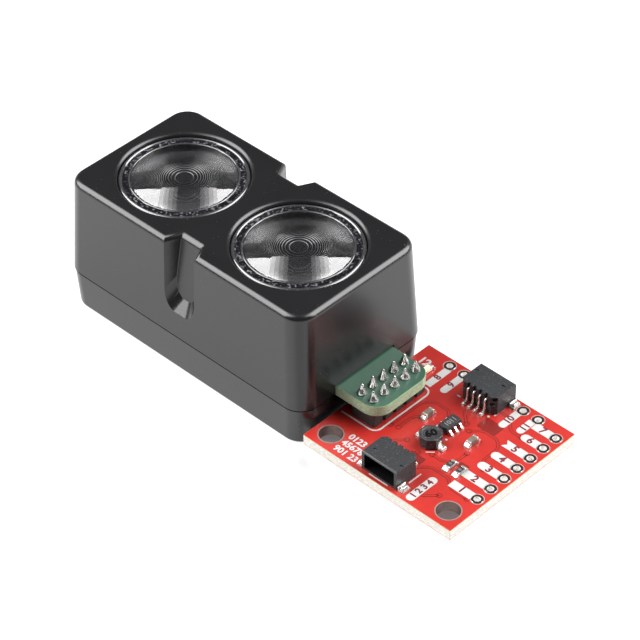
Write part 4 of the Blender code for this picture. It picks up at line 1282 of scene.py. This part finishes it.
class SCANNER_OT_breakout_board(Operator):
    """Model the red breakout board, with its mounting holes and plated wire holes"""
    bl_idname = "scanner.breakout_board"
    bl_label = "Breakout board"

    def execute(self, context):
        low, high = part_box("breakout_board")
        corner, edge = 0.12 * MM, 0.04 * MM
        board = block("breakout_board" + DETAIL, low, high)
        with shaping(board):
            ease(board, upright, corner, 3)
            ease(board, level(high.z), edge, 1)
        drill(board, mount_holes(), MOUNT_HOLE, 64)
        drill(board, end_row() + side_row(), WIRE_HOLE, 32)
        self.mount_tubes(low.z, high.z)
        drill(board, [centre_of(node) for node in pin_nodes()], PIN_HOLE, 16)
        paint(board, red_mask())
        paint(board, red_board_edge(), on_side)
        finish(board, ["breakout_board"])
        self.rings(low.z, high.z)
        return {'FINISHED'}

    def mount_tubes(self, back_z, face_z):
        """The plating of the mounting holes, darkened as painted shade, with a narrow rim on each face."""
        hole, wall, rim, plate = MOUNT_HOLE, 0.04 * MM, 0.12 * MM, 0.02 * MM
        profile = [(hole - wall, back_z - plate), (hole - wall, face_z + plate), (hole + rim, face_z + plate),
                   (hole + rim, face_z), (hole, face_z), (hole, back_z), (hole + rim, back_z),
                   (hole + rim, back_z - plate)]
        places = mount_holes()
        first = spun("mount_tube_1", places[0], profile, 64, closed=True)
        # dark plating: painted shade inside the hole
        paint(first, mount_plating())
        paint(first, mount_rim(), lambda place, normal: abs(normal.z) > 0.7)
        self.copy_to_all(first, "mount_tube_{}", places)

    def rings(self, back_z, face_z):
        """The plating of the wire holes: a flange on each face and a tube between them."""
        tube, flange, plate = 0.47 * MM, 0.82 * MM, 0.035 * MM
        profile = [(tube, back_z - plate), (tube, face_z + plate), (flange - plate, face_z + plate),
                   (flange, face_z), (0.5 * MM, face_z), (0.5 * MM, back_z), (flange, back_z),
                   (flange - plate, back_z - plate)]
        places = end_row() + side_row()
        first = spun("wire_ring_01", places[0], profile, 40, closed=True)
        paint(first, plated_ring())
        paint(first, plated_wall(), lambda place, normal: abs(normal.z) < 0.1)
        self.copy_to_all(first, "wire_ring_{:02d}", places)

    def copy_to_all(self, first, name, places):
        """Copy the plating of the first hole to the others, and finish them all."""
        for number, (x, y) in enumerate(places[1:], start=2):
            copy = twin(first, name.format(number), moved(x - places[0][0], y - places[0][1]))
            finish(copy)
        finish(first)


class SCANNER_OT_board_tracks(Operator):
    """Model the copper tracks and pads that show through the red mask"""
    bl_idname = "scanner.board_tracks"
    bl_label = "Board tracks"

    def execute(self, context):
        height = context.scene.scanner_boards.trace_height
        up = Vector((0, 0, height))
        runs = [
            ((6.9, -2.9), (7.0, 3.0), (8.2, 4.2), (10.6, 4.2), (11.6, 3.2)),
            ((8.0, -2.6), (8.0, 0.2), (9.3, 1.4)),
            ((15.1, 3.1), (16.4, 4.4), (18.8, 4.4), (20.0, 3.2), (20.0, 0.2), (21.2, -1.0)),
            ((14.6, -3.4), (16.4, -3.4), (17.7, -2.1), (17.7, -0.2)),
            ((13.0, -4.4), (13.0, -6.0)),
            ((14.2, -7.0), (16.0, -5.2), (19.0, -5.2), (20.4, -6.4), (23.2, -6.4)),
            ((12.2, 7.0), (12.2, 5.4), (14.0, 3.9)),
            ((14.9, 8.6), (17.2, 8.6), (19.0, 6.8), (20.9, 6.8)),
            ((15.6, -9.9), (18.6, -9.9), (20.2, -8.3)),
            ((10.4, -3.6), (9.2, -4.8), (9.2, -6.4)),
        ]
        tracks, cores = [], []
        for run in runs:
            points = [on_board(x, y) for x, y in run]
            corner = 0.5 * MM if len(points) > 2 else 0.0
            tracks.append(strip("track", points, 0.46 * MM, up * 0.6, corner))
            cores.append(strip("core", points, 0.20 * MM, up, corner))
            for end in (points[0], points[-1]):
                tracks.append(rod("via", end, 0.42 * MM, end.z, end.z + height * 0.6, 20))
                cores.append(rod("via_core", end, 0.28 * MM, end.z, end.z + height, 16))
        for x, y, wide, deep in ((16.6, 5.6, 3.0, 2.2), (13.4, -5.3, 2.6, 1.4), (18.9, -2.3, 1.6, 1.0)):
            low = on_board(x - wide / 2, y - deep / 2)
            pad = block("pour", low, on_board(x + wide / 2, y + deep / 2, height))
            with shaping(pad):
                ease(pad, upright, 0.3 * MM, 3)
            tracks.append(pad)
        for name, group, material in (("board_tracks", tracks, covered_track()),
                                      ("board_track_cores", cores, red_mask())):
            piece = join(name, group)
            paint(piece, material)
            finish(piece)
        return {'FINISHED'}


class SCANNER_OT_board_print(Operator):
    """Model the white print of the breakout board: labels, outlines and plain numbers"""
    bl_idname = "scanner.board_print"
    bl_label = "Board print"

    def execute(self, context):
        height = context.scene.scanner_boards.ink_height
        labels, numbers = self.labels(height)
        ink = join("board_print", labels + self.lines(height))
        paint(ink, print_ink())
        finish(ink)
        top = on_board(0, 0).z + height * 1.25
        words = [lettering("words", text, size, (x, y, top), turn, height / 2)
                 for text, (x, y), turn, size in numbers]
        cut = join("label_numbers", words)
        paint(cut, number_red())
        finish(cut)
        return {'FINISHED'}

    def labels(self, height):
        """The white labels, and each number that shows in them: its text, place, turn and size."""
        labels, numbers = [], []
        gap = 0.72 * MM                 # from the middle of a hole to its label
        half = 0.66 * MM
        reaches = (4.35, 4.5, 4.2, 4.15, 4.25, 3.5, 3.6)
        for number, ((x, y), reach) in enumerate(zip(end_row(), reaches), start=1):
            y -= 0.06 * MM
            low, high = Vector((x - reach * MM, y - half, 0)), Vector((x - gap, y + half, 0))
            labels.append(self.label(low, high, number in (3, 4, 6), number == 5, height))
            numbers.append((str(number), ((low.x + high.x) / 2, y), 0.0, 1.6 * MM))
        half = 0.55 * MM
        shifts, reaches = (0.35, 0.1, -0.2, -0.35), (4.9, 4.6, 4.35, 3.6)
        for number, ((x, y), aside, reach) in enumerate(zip(side_row(), shifts, reaches), start=8):
            x += aside * MM
            low, high = Vector((x - half, y - reach * MM, 0)), Vector((x + half, y - gap, 0))
            labels.append(self.label(low, high, number != 8, False, height, along_y=True))
            numbers.append((str(number), (x, (low.y + high.y) / 2), math.pi / 2, 1.45 * MM))
        low, high = on_board(17.2, -11.6), on_board(18.45, -6.3)
        labels.append(self.label(low, high, True, False, height, along_y=True, round_both=True))
        numbers.append(("1 2 3 4", ((low.x + high.x) / 2, (low.y + high.y) / 2), math.pi / 2, 1.35 * MM))
        return labels, numbers

    def lines(self, height):
        """The printed outlines, dots and rings, and the plain numbers between them."""
        up = Vector((0, 0, height))
        wide, fine = 0.25 * MM, 0.18 * MM
        near, far, aside = 0.5, 6.55, 5.42      # the outline round the tab, on three of its sides
        round_tab = [on_board(near, -aside), on_board(far, -aside), on_board(far, aside),
                      on_board(near, aside)]
        lines = [strip("line", round_tab, wide, up, 1.1 * MM, 8)]
        for run in (((11.1, -11.5), (14.3, -11.5)), ((15.95, -9.3), (15.95, -7.0)),
                    ((15.6, 7.5), (15.6, 9.5)), ((9.4, 7.2), (10.0, 7.2)),
                    ((10.3, -0.6), (10.3, -0.1)), ((13.67, -3.63), (14.53, -2.87))):
            lines.append(strip("line", [on_board(*point) for point in run], fine, up))
        for x, y in ((15.1, 6.9), (14.05, -0.1)):
            place = on_board(x, y)
            lines.append(rod("dot", place, 0.17 * MM, place.z, place.z + height, 16))
        for place in end_row() + side_row():
            lines.append(self.ring(place, 0.88 * MM, 0.93 * MM, on_board(0, 0).z, height))
        for text, x, y, size in (("0123", 5.95, -8.1, 1.4), ("45678", 6.35, -9.5, 1.4),
                                 ("901 23", 6.45, -10.9, 1.4), ("12", 1.9, 9.1, 1.8)):
            lines.append(lettering("words", text, size * MM, on_board(x, y, height / 2), 0.0, height))
        return lines

    def label(self, low, high, rounded, flagged, height, along_y=False, round_both=False):
        """One white label, its far end round, square or cut like a flag."""
        face_z = on_board(0, 0).z
        piece = block("label", (low.x, low.y, face_z), (high.x, high.y, face_z + height))
        end = low.y if along_y else low.x
        half = ((high.x - low.x) if along_y else (high.y - low.y)) / 2

        def at_end(a, b):
            place = a.y if along_y else a.x
            return upright(a, b) and (round_both or same(place, end))

        if rounded:
            with shaping(piece):
                ease(piece, at_end, half * 0.96, 6)
        if flagged:
            corners = [(low.x - half, low.y - half), (low.x + half * 0.7, (low.y + high.y) / 2),
                       (low.x - half, high.y + half)]
            outline = [(x, y, face_z - height) for x, y in corners]
            combine(piece, drawn_out("flag_tool", outline, (0, 0, 3 * height)))
        return piece

    def ring(self, place, inner, outer, face_z, height):
        profile = [(inner, face_z), (outer, face_z), (outer, face_z + height), (inner, face_z + height)]
        return spun("ring", place, profile, 48, closed=True)


# ---------------------------------------------------------------- solder
SUNK = 0.04 * MM                    # the foot of a solder lump, in its board


def lump(low, high, top=0.55):
    """A puddle of solder that has drawn itself round."""
    low, high = Vector(low), Vector(high)
    piece = block("solder_lump", low, high)
    with shaping(piece):
        pick(piece, 'FACE', facing_up)
        stretch((top, top, 1.0), (low + high) / 2)
    modify(piece, 'BEVEL', width=min(high - low) * 0.12, segments=2)
    modify(piece, 'SUBSURF', levels=2, render_levels=2)
    return piece


# ---------------------------------------------------------------- sockets
class SCANNER_OT_sockets(Operator):
    """Model the two cable sockets: moulded bodies, sprung contacts and soldered anchors"""
    bl_idname = "scanner.sockets"
    bl_label = "Sockets"

    def execute(self, context):
        sizes = context.scene.scanner_sockets
        near, far = "socket_near", "socket_far"
        body = self.body(near, sizes)
        contact = self.contact(near, sizes)
        anchor = self.anchor(near)
        turned = self.turn_over(near, far)
        far_body = twin(body, far + "_housing" + DETAIL, turned)
        far_contact = twin(contact, far + "_contact_4" + DETAIL, turned)
        far_anchor = twin(anchor, far + "_anchor_right" + DETAIL, turned)
        for name, piece in ((near, body), (far, far_body)):
            finish(piece, [name + "_housing"])
        self.spread(near, "contact_", contact, 1)
        self.spread(far, "contact_", far_contact, 4)
        self.spread(near, "anchor_", anchor, "left")
        self.spread(far, "anchor_", far_anchor, "right")
        return {'FINISHED'}

    def turn_over(self, near, far):
        """Half a turn that takes the near socket's place to the far one's."""
        start = centre_of(near + "_housing")
        end = centre_of(far + "_housing")
        return (Matrix.Translation((end.x, end.y, 0)) @ Matrix.Rotation(math.pi, 4, 'Z')
                @ Matrix.Translation((-start.x, -start.y, 0)))

    def spread(self, name, kind, first, label):
        """Copy a contact or an anchor to each like node of a socket."""
        start = centre_of(f"{name}_{kind}{label}")
        pieces = {f"{name}_{kind}{label}": first}
        for node in sorted(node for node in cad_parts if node.startswith(f"{name}_{kind}")):
            if node not in pieces:
                pieces[node] = twin(first, node + DETAIL, moved(centre_of(node).x - start.x, 0.0))
                if kind == "anchor_":
                    self.mirror(pieces[node], centre_of(node).x)
        for node, piece in pieces.items():
            paint(piece, reflowed_tin())
            finish(piece, [node], math.radians(50))

    def mirror(self, piece, middle_x):
        """Turn a copied anchor so that its foot points away from the socket."""
        with shaping(piece):
            pick_all()
            stretch((-1.0, 1.0, 1.0), (middle_x, 0, 0))
            bpy.ops.mesh.flip_normals()

    def body(self, name, sizes):
        """A moulded body with its mouth towards -Y, ribs over the contacts and nicks at its back corners."""
        low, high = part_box(name + "_housing")
        middle_x = (low.x + high.x) / 2
        back_y, mouth_y = high.y, low.y
        corner_cut, lip, edge = 0.62 * MM, 0.18 * MM, 0.10 * MM
        past_lip_y = mouth_y + 0.3 * MM
        on_top = level(high.z)
        piece = block(name + "_housing" + DETAIL, low, high)
        with shaping(piece):
            ease(piece, lambda a, b: upright(a, b) and a.y > back_y - TINY, corner_cut, 1)
            ease(piece, lambda a, b: on_top(a, b) and max(a.y, b.y) < mouth_y + TINY, lip, 2)
            ease(piece, lambda a, b: on_top(a, b) and max(a.y, b.y) > past_lip_y, edge, 2)
        half = (high.x - low.x) / 2 - sizes.wall
        room = block("room_tool", (middle_x - half, mouth_y - MM, low.z + sizes.floor),
                     (middle_x + half, back_y - sizes.back, high.z - sizes.roof))
        with shaping(room):
            ease(room, lambda a, b: abs(a.y - b.y) > 0.9 * (a - b).length, 0.2 * MM, 3)
        combine(piece, room)
        self.cut_details(piece, name, sizes)
        paint(piece, connector_plastic())
        # the inside faces get the darkened nylon: painted shade in the socket's depth
        paint(piece, socket_inside(),
              lambda place, normal: abs(place.x - middle_x) < half + TINY
              and low.z + sizes.floor - TINY < place.z < high.z - sizes.roof + TINY
              and past_lip_y < place.y < back_y - sizes.back + TINY)
        # the lip of the mouth gets the lighter nylon: a painted highlight
        paint(piece, socket_lip(), lambda place, normal: place.y < mouth_y + lip
              and place.z > high.z - lip and normal.y < -0.2 and normal.z > 0.2)
        return piece

    def cut_details(self, piece, name, sizes):
        """Cut the gaps between the ribs, the nicks at the back corners and the marks on the roof."""
        low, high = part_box(name + "_housing")
        middle_x = (low.x + high.x) / 2
        contacts = [centre_of(f"{name}_contact_{number}").x for number in range(1, 5)]
        gap, hole = 0.24 * MM, 0.2 * MM         # half as wide as the cuts over each contact
        for x in contacts:
            combine(piece, block("gap_tool", (x - gap, high.y - 0.32 * MM, high.z - 0.75 * MM),
                                 (x + gap, high.y + MM, high.z + MM)))
            combine(piece, block("hole_tool", (x - hole, high.y - 2 * sizes.back, high.z - 0.95 * MM),
                                 (x + hole, high.y + MM, high.z - 0.58 * MM)))
        pitch = contacts[1] - contacts[0]
        sideways = Matrix.Rotation(math.pi / 2, 4, 'Y')
        for x in (contacts[0] - pitch, contacts[-1] + pitch):
            way = math.copysign(1, x - middle_x)
            outer = middle_x + way * (high.x - low.x) / 2
            for inset, drop in ((0.42 * MM, 0.42 * MM), (0.2 * MM, 1.25 * MM)):
                nick = rod("nick_tool", (0, 0), 0.30 * MM, -0.85 * MM, 0.85 * MM, 20)
                nick.matrix_world = Matrix.Translation((outer, high.y - inset, high.z - drop)) @ sideways
                combine(piece, settle(nick))
            mark_x = x - way * 0.2 * MM
            combine(piece, block("mark_tool", (mark_x, low.y + 1.3 * MM, high.z - 0.14 * MM),
                                 (mark_x + 0.5 * MM, low.y + 1.55 * MM, high.z + MM)))

    def contact(self, name, sizes):
        """A strip from inside the socket, down its back and out to a soldered foot."""
        low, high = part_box(name + "_contact_1")
        body_low, body_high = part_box(name + "_housing")
        half_metal = sizes.metal / 2
        top_z, foot_z = high.z - half_metal, body_low.z + half_metal
        drop_y = body_high.y + 0.06 * MM + half_metal
        bends = [(low.y, top_z), (drop_y, top_z), (drop_y, body_low.z + 0.9 * MM),
                 (drop_y + 0.34 * MM, foot_z), (high.y, foot_z)]
        piece = strip(name + "_contact_1" + DETAIL, [(low.x, y, z) for y, z in bends], sizes.metal,
                      Vector((high.x - low.x, 0, 0)), 0.22 * MM, 4)
        modify(piece, 'BEVEL', width=0.025 * MM, segments=1, limit_method='ANGLE')
        x, half_bead = (low.x + high.x) / 2, 0.29 * MM
        bead = lump((x - half_bead, high.y - 0.62 * MM, body_low.z - SUNK),
                    (x + half_bead, high.y + 0.14 * MM, body_low.z + 0.36 * MM), 0.6)
        return join(piece.name, [piece, bead])

    def anchor(self, name):
        """A bent tab of metal beside the socket, drowned in solder at its foot."""
        low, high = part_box(name + "_anchor_left")
        metal = 0.25 * MM
        top_z = low.z + 0.6 * MM
        outline = [(high.x, low.y, low.z), (low.x, low.y, low.z), (low.x, low.y, low.z + metal),
                   (high.x - metal, low.y, low.z + metal), (high.x - metal, low.y, top_z),
                   (high.x, low.y, top_z)]
        piece = drawn_out(name + "_anchor_left" + DETAIL, outline, (0, (high.y - low.y) * 0.8, 0))
        modify(piece, 'BEVEL', width=0.05 * MM, segments=2, limit_method='ANGLE')
        pad = lump((low.x - 0.2 * MM, low.y - 0.05 * MM, low.z - SUNK),
                   (high.x, high.y - 0.2 * MM, low.z + 0.5 * MM), 0.5)
        return join(piece.name, [piece, pad])


# ---------------------------------------------------------------- parts on the breakout board
def eased_block(name, low, high, width, steps=2):
    """A block whose edges are all rounded."""
    piece = block(name, low, high)
    with shaping(piece):
        ease(piece, any_edge, width, steps)
    return piece


class SCANNER_OT_converter(Operator):
    """Model the voltage converter: a drafted resin body on six gull-wing leads"""
    bl_idname = "scanner.converter"
    bl_label = "Converter"

    def execute(self, context):
        low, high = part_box("converter_chip")
        middle = (low + high) / 2
        half_x, waist = 0.8 * MM, low.z + 0.55 * MM
        body = self.body(low, high, half_x, waist)
        leads = []
        for side, end in ((1, high.x), (-1, low.x)):
            for step in (-1, 0, 1):
                leads += self.lead(middle.x, middle.y + step * 0.95 * MM, low.z, half_x, waist, side, end)
        metalwork = paint(join("leads", leads), reflowed_tin())
        mark = lettering("mark", "1011", 1.0 * MM, (middle.x + 0.1 * MM, middle.y, high.z + 0.005 * MM),
                         math.pi / 2, 0.01 * MM)
        paint(mark, chip_mark())
        piece = join("converter_chip" + DETAIL, [body, metalwork, mark])
        finish(piece, ["converter_chip"], math.radians(45))
        return {'FINISHED'}

    def body(self, low, high, half_x, waist):
        """A body that narrows above and below its waist, with a dot in the corner of its top."""
        middle = (low + high) / 2
        lift = low.z + 0.1 * MM
        body = block("body", (middle.x - half_x, low.y, lift), (middle.x + half_x, high.y, high.z))
        with shaping(body):
            pick_all()
            bpy.ops.mesh.bisect(plane_co=(0, 0, waist), plane_no=(0, 0, 1))
            for z in (lift, high.z):
                pick(body, 'EDGE', level(z))
                stretch((0.9, 0.94, 1.0), (middle.x, middle.y, z))
            ease(body, any_edge, 0.035 * MM, 2)
        combine(body, rod("dot_tool", (middle.x - 0.42 * MM, low.y + 0.5 * MM), 0.16 * MM,
                          high.z - 0.05 * MM, high.z + MM, 20))
        return paint(body, chip_resin())

    def lead(self, middle_x, y, foot_z, half_x, waist, side, end):
        """One bent lead and the solder round its foot."""
        metal, width, bend = 0.15 * MM, 0.32 * MM, 0.12 * MM
        y -= width / 2
        wall = middle_x + side * half_x
        points = [(wall - side * bend, y, waist), (wall + side * bend, y, waist),
                  (wall + side * 0.42 * MM, y, foot_z + metal / 2), (end, y, foot_z + metal / 2)]
        ends = sorted((end - side * 0.24 * MM, end + side * 0.16 * MM))
        return [strip("lead", points, metal, Vector((0, width, 0)), bend, 3),
                lump((ends[0], y - 0.03 * MM, foot_z - SUNK),
                     (ends[1], y + width + 0.03 * MM, foot_z + 0.16 * MM))]


class SCANNER_OT_inductor(Operator):
    """Model the power inductor: a dark eight-sided core with a dished top and soldered ends"""
    bl_idname = "scanner.inductor"
    bl_label = "Inductor"

    def execute(self, context):
        low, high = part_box("inductor")
        middle = (low + high) / 2
        across = (high.y - low.y) / 2
        core = self.core(middle, across, low.z, high.z)
        ends = []
        for side, end in ((-1, low.x), (1, high.x)):
            ends += self.terminal(middle.x + side * across, middle.y, low.z, side, end)
        metalwork = paint(join("ends", ends), reflowed_tin())
        piece = join("inductor" + DETAIL, [core, metalwork])
        finish(piece, ["inductor"], math.radians(45))
        value = lettering("inductor_number", "60", 1.6 * MM, (middle.x, middle.y, high.z - 0.07 * MM),
                          math.radians(64), 0.06 * MM)
        paint(value, burnt_mark())
        finish(value)
        return {'FINISHED'}

    def core(self, middle, across, low_z, high_z):
        """An eight-sided block, dished inside a plain rim."""
        sides = 8
        rim, slope, dish, edge = 0.32 * MM, 0.12 * MM, 0.10 * MM, 0.10 * MM
        half_side = math.pi / sides
        piece = rod("core", middle, across / math.cos(half_side), low_z, high_z, sides)
        with shaping(piece):
            pick_all()
            bpy.ops.transform.rotate(value=half_side, orient_axis='Z', center_override=middle)
            pick(piece, 'FACE', facing_up)
            bpy.ops.mesh.inset(thickness=rim)
            bpy.ops.mesh.inset(thickness=slope)
            shift((0, 0, -dish))
            ease(piece, lambda a, b: upright(a, b) or level(high_z)(a, b) or level(low_z)(a, b), edge, 2)
        return paint(piece, ferrite())

    def terminal(self, wall_x, y, foot_z, side, end):
        """A flat foot, the strap up the core's side, and the solder over both."""
        foot, strap, pool = 0.50 * MM, 0.30 * MM, 0.45 * MM         # half widths
        span = sorted((wall_x - side * 0.35 * MM, end))
        wet = sorted((end - side * 0.55 * MM, end + side * 0.12 * MM))
        return [eased_block("terminal", (span[0], y - foot, foot_z), (span[1], y + foot, foot_z + 0.3 * MM),
                            0.06 * MM),
                eased_block("strap", (wall_x - 0.03 * MM, y - strap, foot_z),
                            (wall_x + 0.09 * MM, y + strap, foot_z + 1.0 * MM), 0.03 * MM),
                lump((wet[0], y - pool, foot_z - SUNK), (wet[1], y + pool, foot_z + 0.36 * MM))]


class SCANNER_OT_chip_parts(Operator):
    """Model the small soldered parts: capacitors, resistors and the power light"""
    bl_idname = "scanner.chip_parts"
    bl_label = "Chip parts"

    def execute(self, context):
        for node in ("capacitor_1", "capacitor_2"):
            self.chip(node, capacitor_ceramic(), "ceramic")
        for node in ("resistor_1", "resistor_2"):
            self.chip(node, resistor_ceramic(), "ceramic", glaze=True)
        self.chip("power_led", led_resin(), "led_resin")
        return {'FINISHED'}

    def chip(self, node, material, slot, glaze=False):
        """A body lying along Y between metal ends, each with a fillet of solder down to the board."""
        low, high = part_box(node)
        reach = 0.4 * MM                # of the solder past the body
        start, end = low.y + reach, high.y - reach
        cap, skin = 0.3 * MM, 0.012 * MM
        body = eased_block("body", (low.x + skin, start + skin, low.z),
                           (high.x - skin, end - skin, high.z - skin), 0.03 * MM)
        parts = [paint(body, material)]
        if glaze:
            top = eased_block("glaze", (low.x + 0.03 * MM, start + cap * 0.9, high.z - 2 * skin),
                              (high.x - 0.03 * MM, end - cap * 0.9, high.z + skin), 0.008 * MM, 1)
            parts.append(paint(top, resistor_glaze()))
            place = ((low.x + high.x) / 2, (low.y + high.y) / 2, high.z + skin)
            mark = lettering("mark", "0", 0.62 * MM, place, math.pi / 2, 0.01 * MM)
            parts.append(paint(mark, chip_mark()))
        metal = []
        for inner, outer, tip in ((start + cap, start, low.y), (end - cap, end, high.y)):
            span = sorted((inner, outer))
            metal.append(eased_block("cap", (low.x, span[0], low.z), (high.x, span[1], high.z), 0.05 * MM))
            metal.append(self.fillet(low, high, inner, outer, tip))
        parts.append(paint(join("metal", metal), reflowed_tin()))
        piece = join(node + DETAIL, parts)
        finish(piece, [node], math.radians(45))

    def fillet(self, low, high, inner, outer, tip):
        """Solder that slopes from a metal end down to the board."""
        foot = sorted((outer + (inner - outer) * 0.3, tip + (tip - outer) * 0.15))
        height = high.z - low.z
        wedge = block("wedge", (low.x - 0.06 * MM, foot[0], low.z - SUNK),
                      (high.x + 0.06 * MM, foot[1], high.z - 0.22 * height))
        with shaping(wedge):
            pick(wedge, 'EDGE', lambda a, b: same(a.z, b.z) and a.z > low.z and same(a.y, b.y)
                 and abs(a.y - tip) < abs(a.y - inner))
            shift((0, (outer - tip) * 0.3, -height * 0.55))
            ease(wedge, any_edge, 0.05 * MM, 2)
        modify(wedge, 'SUBSURF', levels=1, render_levels=1)
        return wedge


class SCANNER_OT_inner_parts(Operator):
    """Give the parts inside the housing, whose shapes come from the frame, their finishes"""
    bl_idname = "scanner.inner_parts"
    bl_label = "Inner parts"

    def execute(self, context):
        finishes = {
            "transmit_barrel": barrel_plastic(),
            "receive_barrel": barrel_plastic(),
            "emitter_led": emitter_glass(),
            "photodiode": emitter_glass(),
            "receiver_shield": tinned_metal(),
            "crystal": tinned_metal(),
            "amplifier_chip": chip_resin(),
            "driver_chip": chip_resin(),
            "processor_chip": chip_resin(),
            "storage_capacitor_1": capacitor_ceramic(),
            "storage_capacitor_2": capacitor_ceramic(),
            "antenna": resistor_ceramic(),
        }
        for node, material in finishes.items():
            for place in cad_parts[node].material_slots:
                place.material = material
        return {'FINISHED'}


# ---------------------------------------------------------------- studio
class SCANNER_OT_stage(Operator):
    """Set the pale floor, the soft lights and the camera"""
    bl_idname = "scanner.stage"
    bl_label = "Stage"

    def execute(self, context):
        settings = context.scene.scanner_stage
        self.floor(settings)
        self.world(context.scene)
        aim = self.camera(context.scene, settings)
        self.lights(aim, settings.azimuth)
        context.scene.view_settings.view_transform = 'Standard'
        return {'FINISHED'}

    def floor(self, settings):
        bpy.ops.object.select_all(action='DESELECT')
        bpy.ops.mesh.primitive_plane_add(size=6.0)
        floor = bpy.context.object
        floor.name = "floor"
        look = Look("floor_paper", Roughness=0.9, Specular_IOR_Level=0.0, Emission_Strength=1.0)
        bright, corner_dim, board_dim = 0.88, 0.38, 0.85
        glow = bright - self.corner_shade(look, settings.azimuth) * corner_dim
        glow *= 1 - self.board_shade(look) * board_dim
        look.feed(Base_Color=tuple(settings.floor_colour),
                  Emission_Color=look.blend(glow, grey(0.0), grey(1.0)))
        floor.data.materials.append(look.material)

    def board_shade(self, look):
        """1 on the floor under the wide board, falling to 0 past its edges."""
        low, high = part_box("breakout_board")
        start, stop = 1.5 * MM, 3.3 * MM        # where the shade starts and stops fading
        x, y = look.along("X"), look.along("Y")
        return (look.ramp(x, low.x - stop, low.x - start)
                * (1 - look.ramp(x, high.x - stop, high.x - start))
                * look.ramp(y, low.y + start, low.y + stop)
                * (1 - look.ramp(y, high.y - stop, high.y - start)))

    def corner_shade(self, look, azimuth):
        """1 on the floor ahead of the housing's near corner, falling to 0 to each side and far away."""
        low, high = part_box("front_housing")
        east, north = look.along("X") - high.x, look.along("Y") - low.y
        turn_x, turn_y = math.cos(azimuth), math.sin(azimuth)
        across = east * turn_x + north * turn_y
        ahead = east * turn_y - north * turn_x
        apart = across * across + ahead * ahead + MM * MM       # square of the distance from the corner
        spread, near, far = 0.42, 40 * MM, 90 * MM
        return ((1 - look.ramp(across * across / apart, 0.0, spread))
                * look.ramp(ahead, -2 * MM, 2 * MM)
                * (1 - look.ramp(apart, near * near, far * far)))

    def world(self, scene):
        world = bpy.data.worlds.new("studio")
        scene.world = world
        world.use_nodes = True
        background = world.node_tree.nodes["Background"]
        background.inputs["Color"].default_value = (0.12, 0.12, 0.125, 1.0)
        background.inputs["Strength"].default_value = 1.0

    def camera(self, scene, settings):
        """Aim the camera, and return the point that it looks at."""
        aim = Vector((5.983, 8.568, 0.0)) * MM
        turn = Matrix.Rotation(settings.azimuth, 4, 'Z') @ Matrix.Rotation(
            math.pi / 2 - settings.elevation, 4, 'X') @ Matrix.Rotation(settings.roll, 4, 'Z')
        camera = bpy.data.cameras.new("camera")
        camera.lens = settings.focal_length
        camera.sensor_width = 36.0
        camera.clip_start = 0.01
        stand = bpy.data.objects.new("camera", camera)
        scene.collection.objects.link(stand)
        back = turn.to_3x3() @ Vector((0, 0, 1))
        stand.matrix_world = Matrix.Translation(aim + back * settings.distance) @ turn
        scene.camera = stand
        return aim

    def lights(self, aim, azimuth):
        """Softboxes to the left and right overhead, each fading towards the gap between them.

        Each panel spans a range of angles to the side of straight up, and has its own brightness.
        """
        distance = 0.5
        aside = Vector((math.cos(azimuth), math.sin(azimuth), 0.0))
        forward = Vector((math.sin(azimuth), -math.cos(azimuth), 0.0))
        back_edge = -distance * math.tan(math.radians(32.5))
        front_edge = distance * math.tan(math.radians(16.0))
        panels = {"main": (27.0, 72.0, 8.5), "fade_1": (23.0, 27.0, 5.8), "fade_2": (19.0, 23.0, 3.6),
                  "fade_3": (15.0, 19.0, 1.9), "fade_4": (11.0, 15.0, 0.9)}
        for side_name, side in (("left", -1), ("right", 1)):
            for name, (inner, outer, radiance) in panels.items():
                tilt = side * math.radians((inner + outer) / 2)
                way = aside * math.sin(tilt) + Vector((0, 0, math.cos(tilt)))
                light = bpy.data.lights.new(f"{name}_{side_name}", 'AREA')
                light.shape = 'RECTANGLE'
                light.size = 2 * distance * math.tan(math.radians((outer - inner) / 2))
                light.size_y = front_edge - back_edge
                light.energy = radiance * math.pi * light.size * light.size_y
                lamp = bpy.data.objects.new(light.name, light)
                bpy.context.scene.collection.objects.link(lamp)
                turn = Matrix((forward.cross(way), forward, way)).transposed().to_4x4()
                place = aim + way * distance + forward * (front_edge + back_edge) / 2
                lamp.matrix_world = Matrix.Translation(place) @ turn


# ---------------------------------------------------------------- panel and registration
OPERATORS = (
    SCANNER_OT_front_housing,
    SCANNER_OT_rear_cover,
    SCANNER_OT_lenses,
    SCANNER_OT_main_board,
    SCANNER_OT_header,
    SCANNER_OT_breakout_board,
    SCANNER_OT_board_tracks,
    SCANNER_OT_board_print,
    SCANNER_OT_sockets,
    SCANNER_OT_converter,
    SCANNER_OT_inductor,
    SCANNER_OT_chip_parts,
    SCANNER_OT_inner_parts,
    SCANNER_OT_stage,
)


class SCANNER_PT_panel(Panel):
    """Sizes, colours and a button for each step"""
    bl_label = "Lidar scanner module"
    bl_idname = "SCANNER_PT_panel"
    bl_space_type = 'VIEW_3D'
    bl_region_type = 'UI'
    bl_category = "Scanner"

    def draw(self, context):
        for group, settings in SETTINGS.items():
            box = self.layout.box()
            box.label(text=settings.__doc__)
            for field in settings.__annotations__:
                box.prop(getattr(context.scene, group), field)
        for operator in OPERATORS:
            self.layout.operator(operator.bl_idname)


def register():
    for group in SETTINGS.values():
        bpy.utils.register_class(group)
    for operator in OPERATORS:
        bpy.utils.register_class(operator)
    bpy.utils.register_class(SCANNER_PT_panel)
    for name, group in SETTINGS.items():
        setattr(bpy.types.Scene, name, PointerProperty(type=group))


def unregister():
    for name in SETTINGS:
        delattr(bpy.types.Scene, name)
    bpy.utils.unregister_class(SCANNER_PT_panel)
    for operator in reversed(OPERATORS):
        bpy.utils.unregister_class(operator)
    for group in reversed(SETTINGS.values()):
        bpy.utils.unregister_class(group)


def main():
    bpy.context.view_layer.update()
    register()
    for operator in OPERATORS:
        family, step = operator.bl_idname.split(".")
        getattr(getattr(bpy.ops, family), step)()


if __name__ == "__main__":
    main()
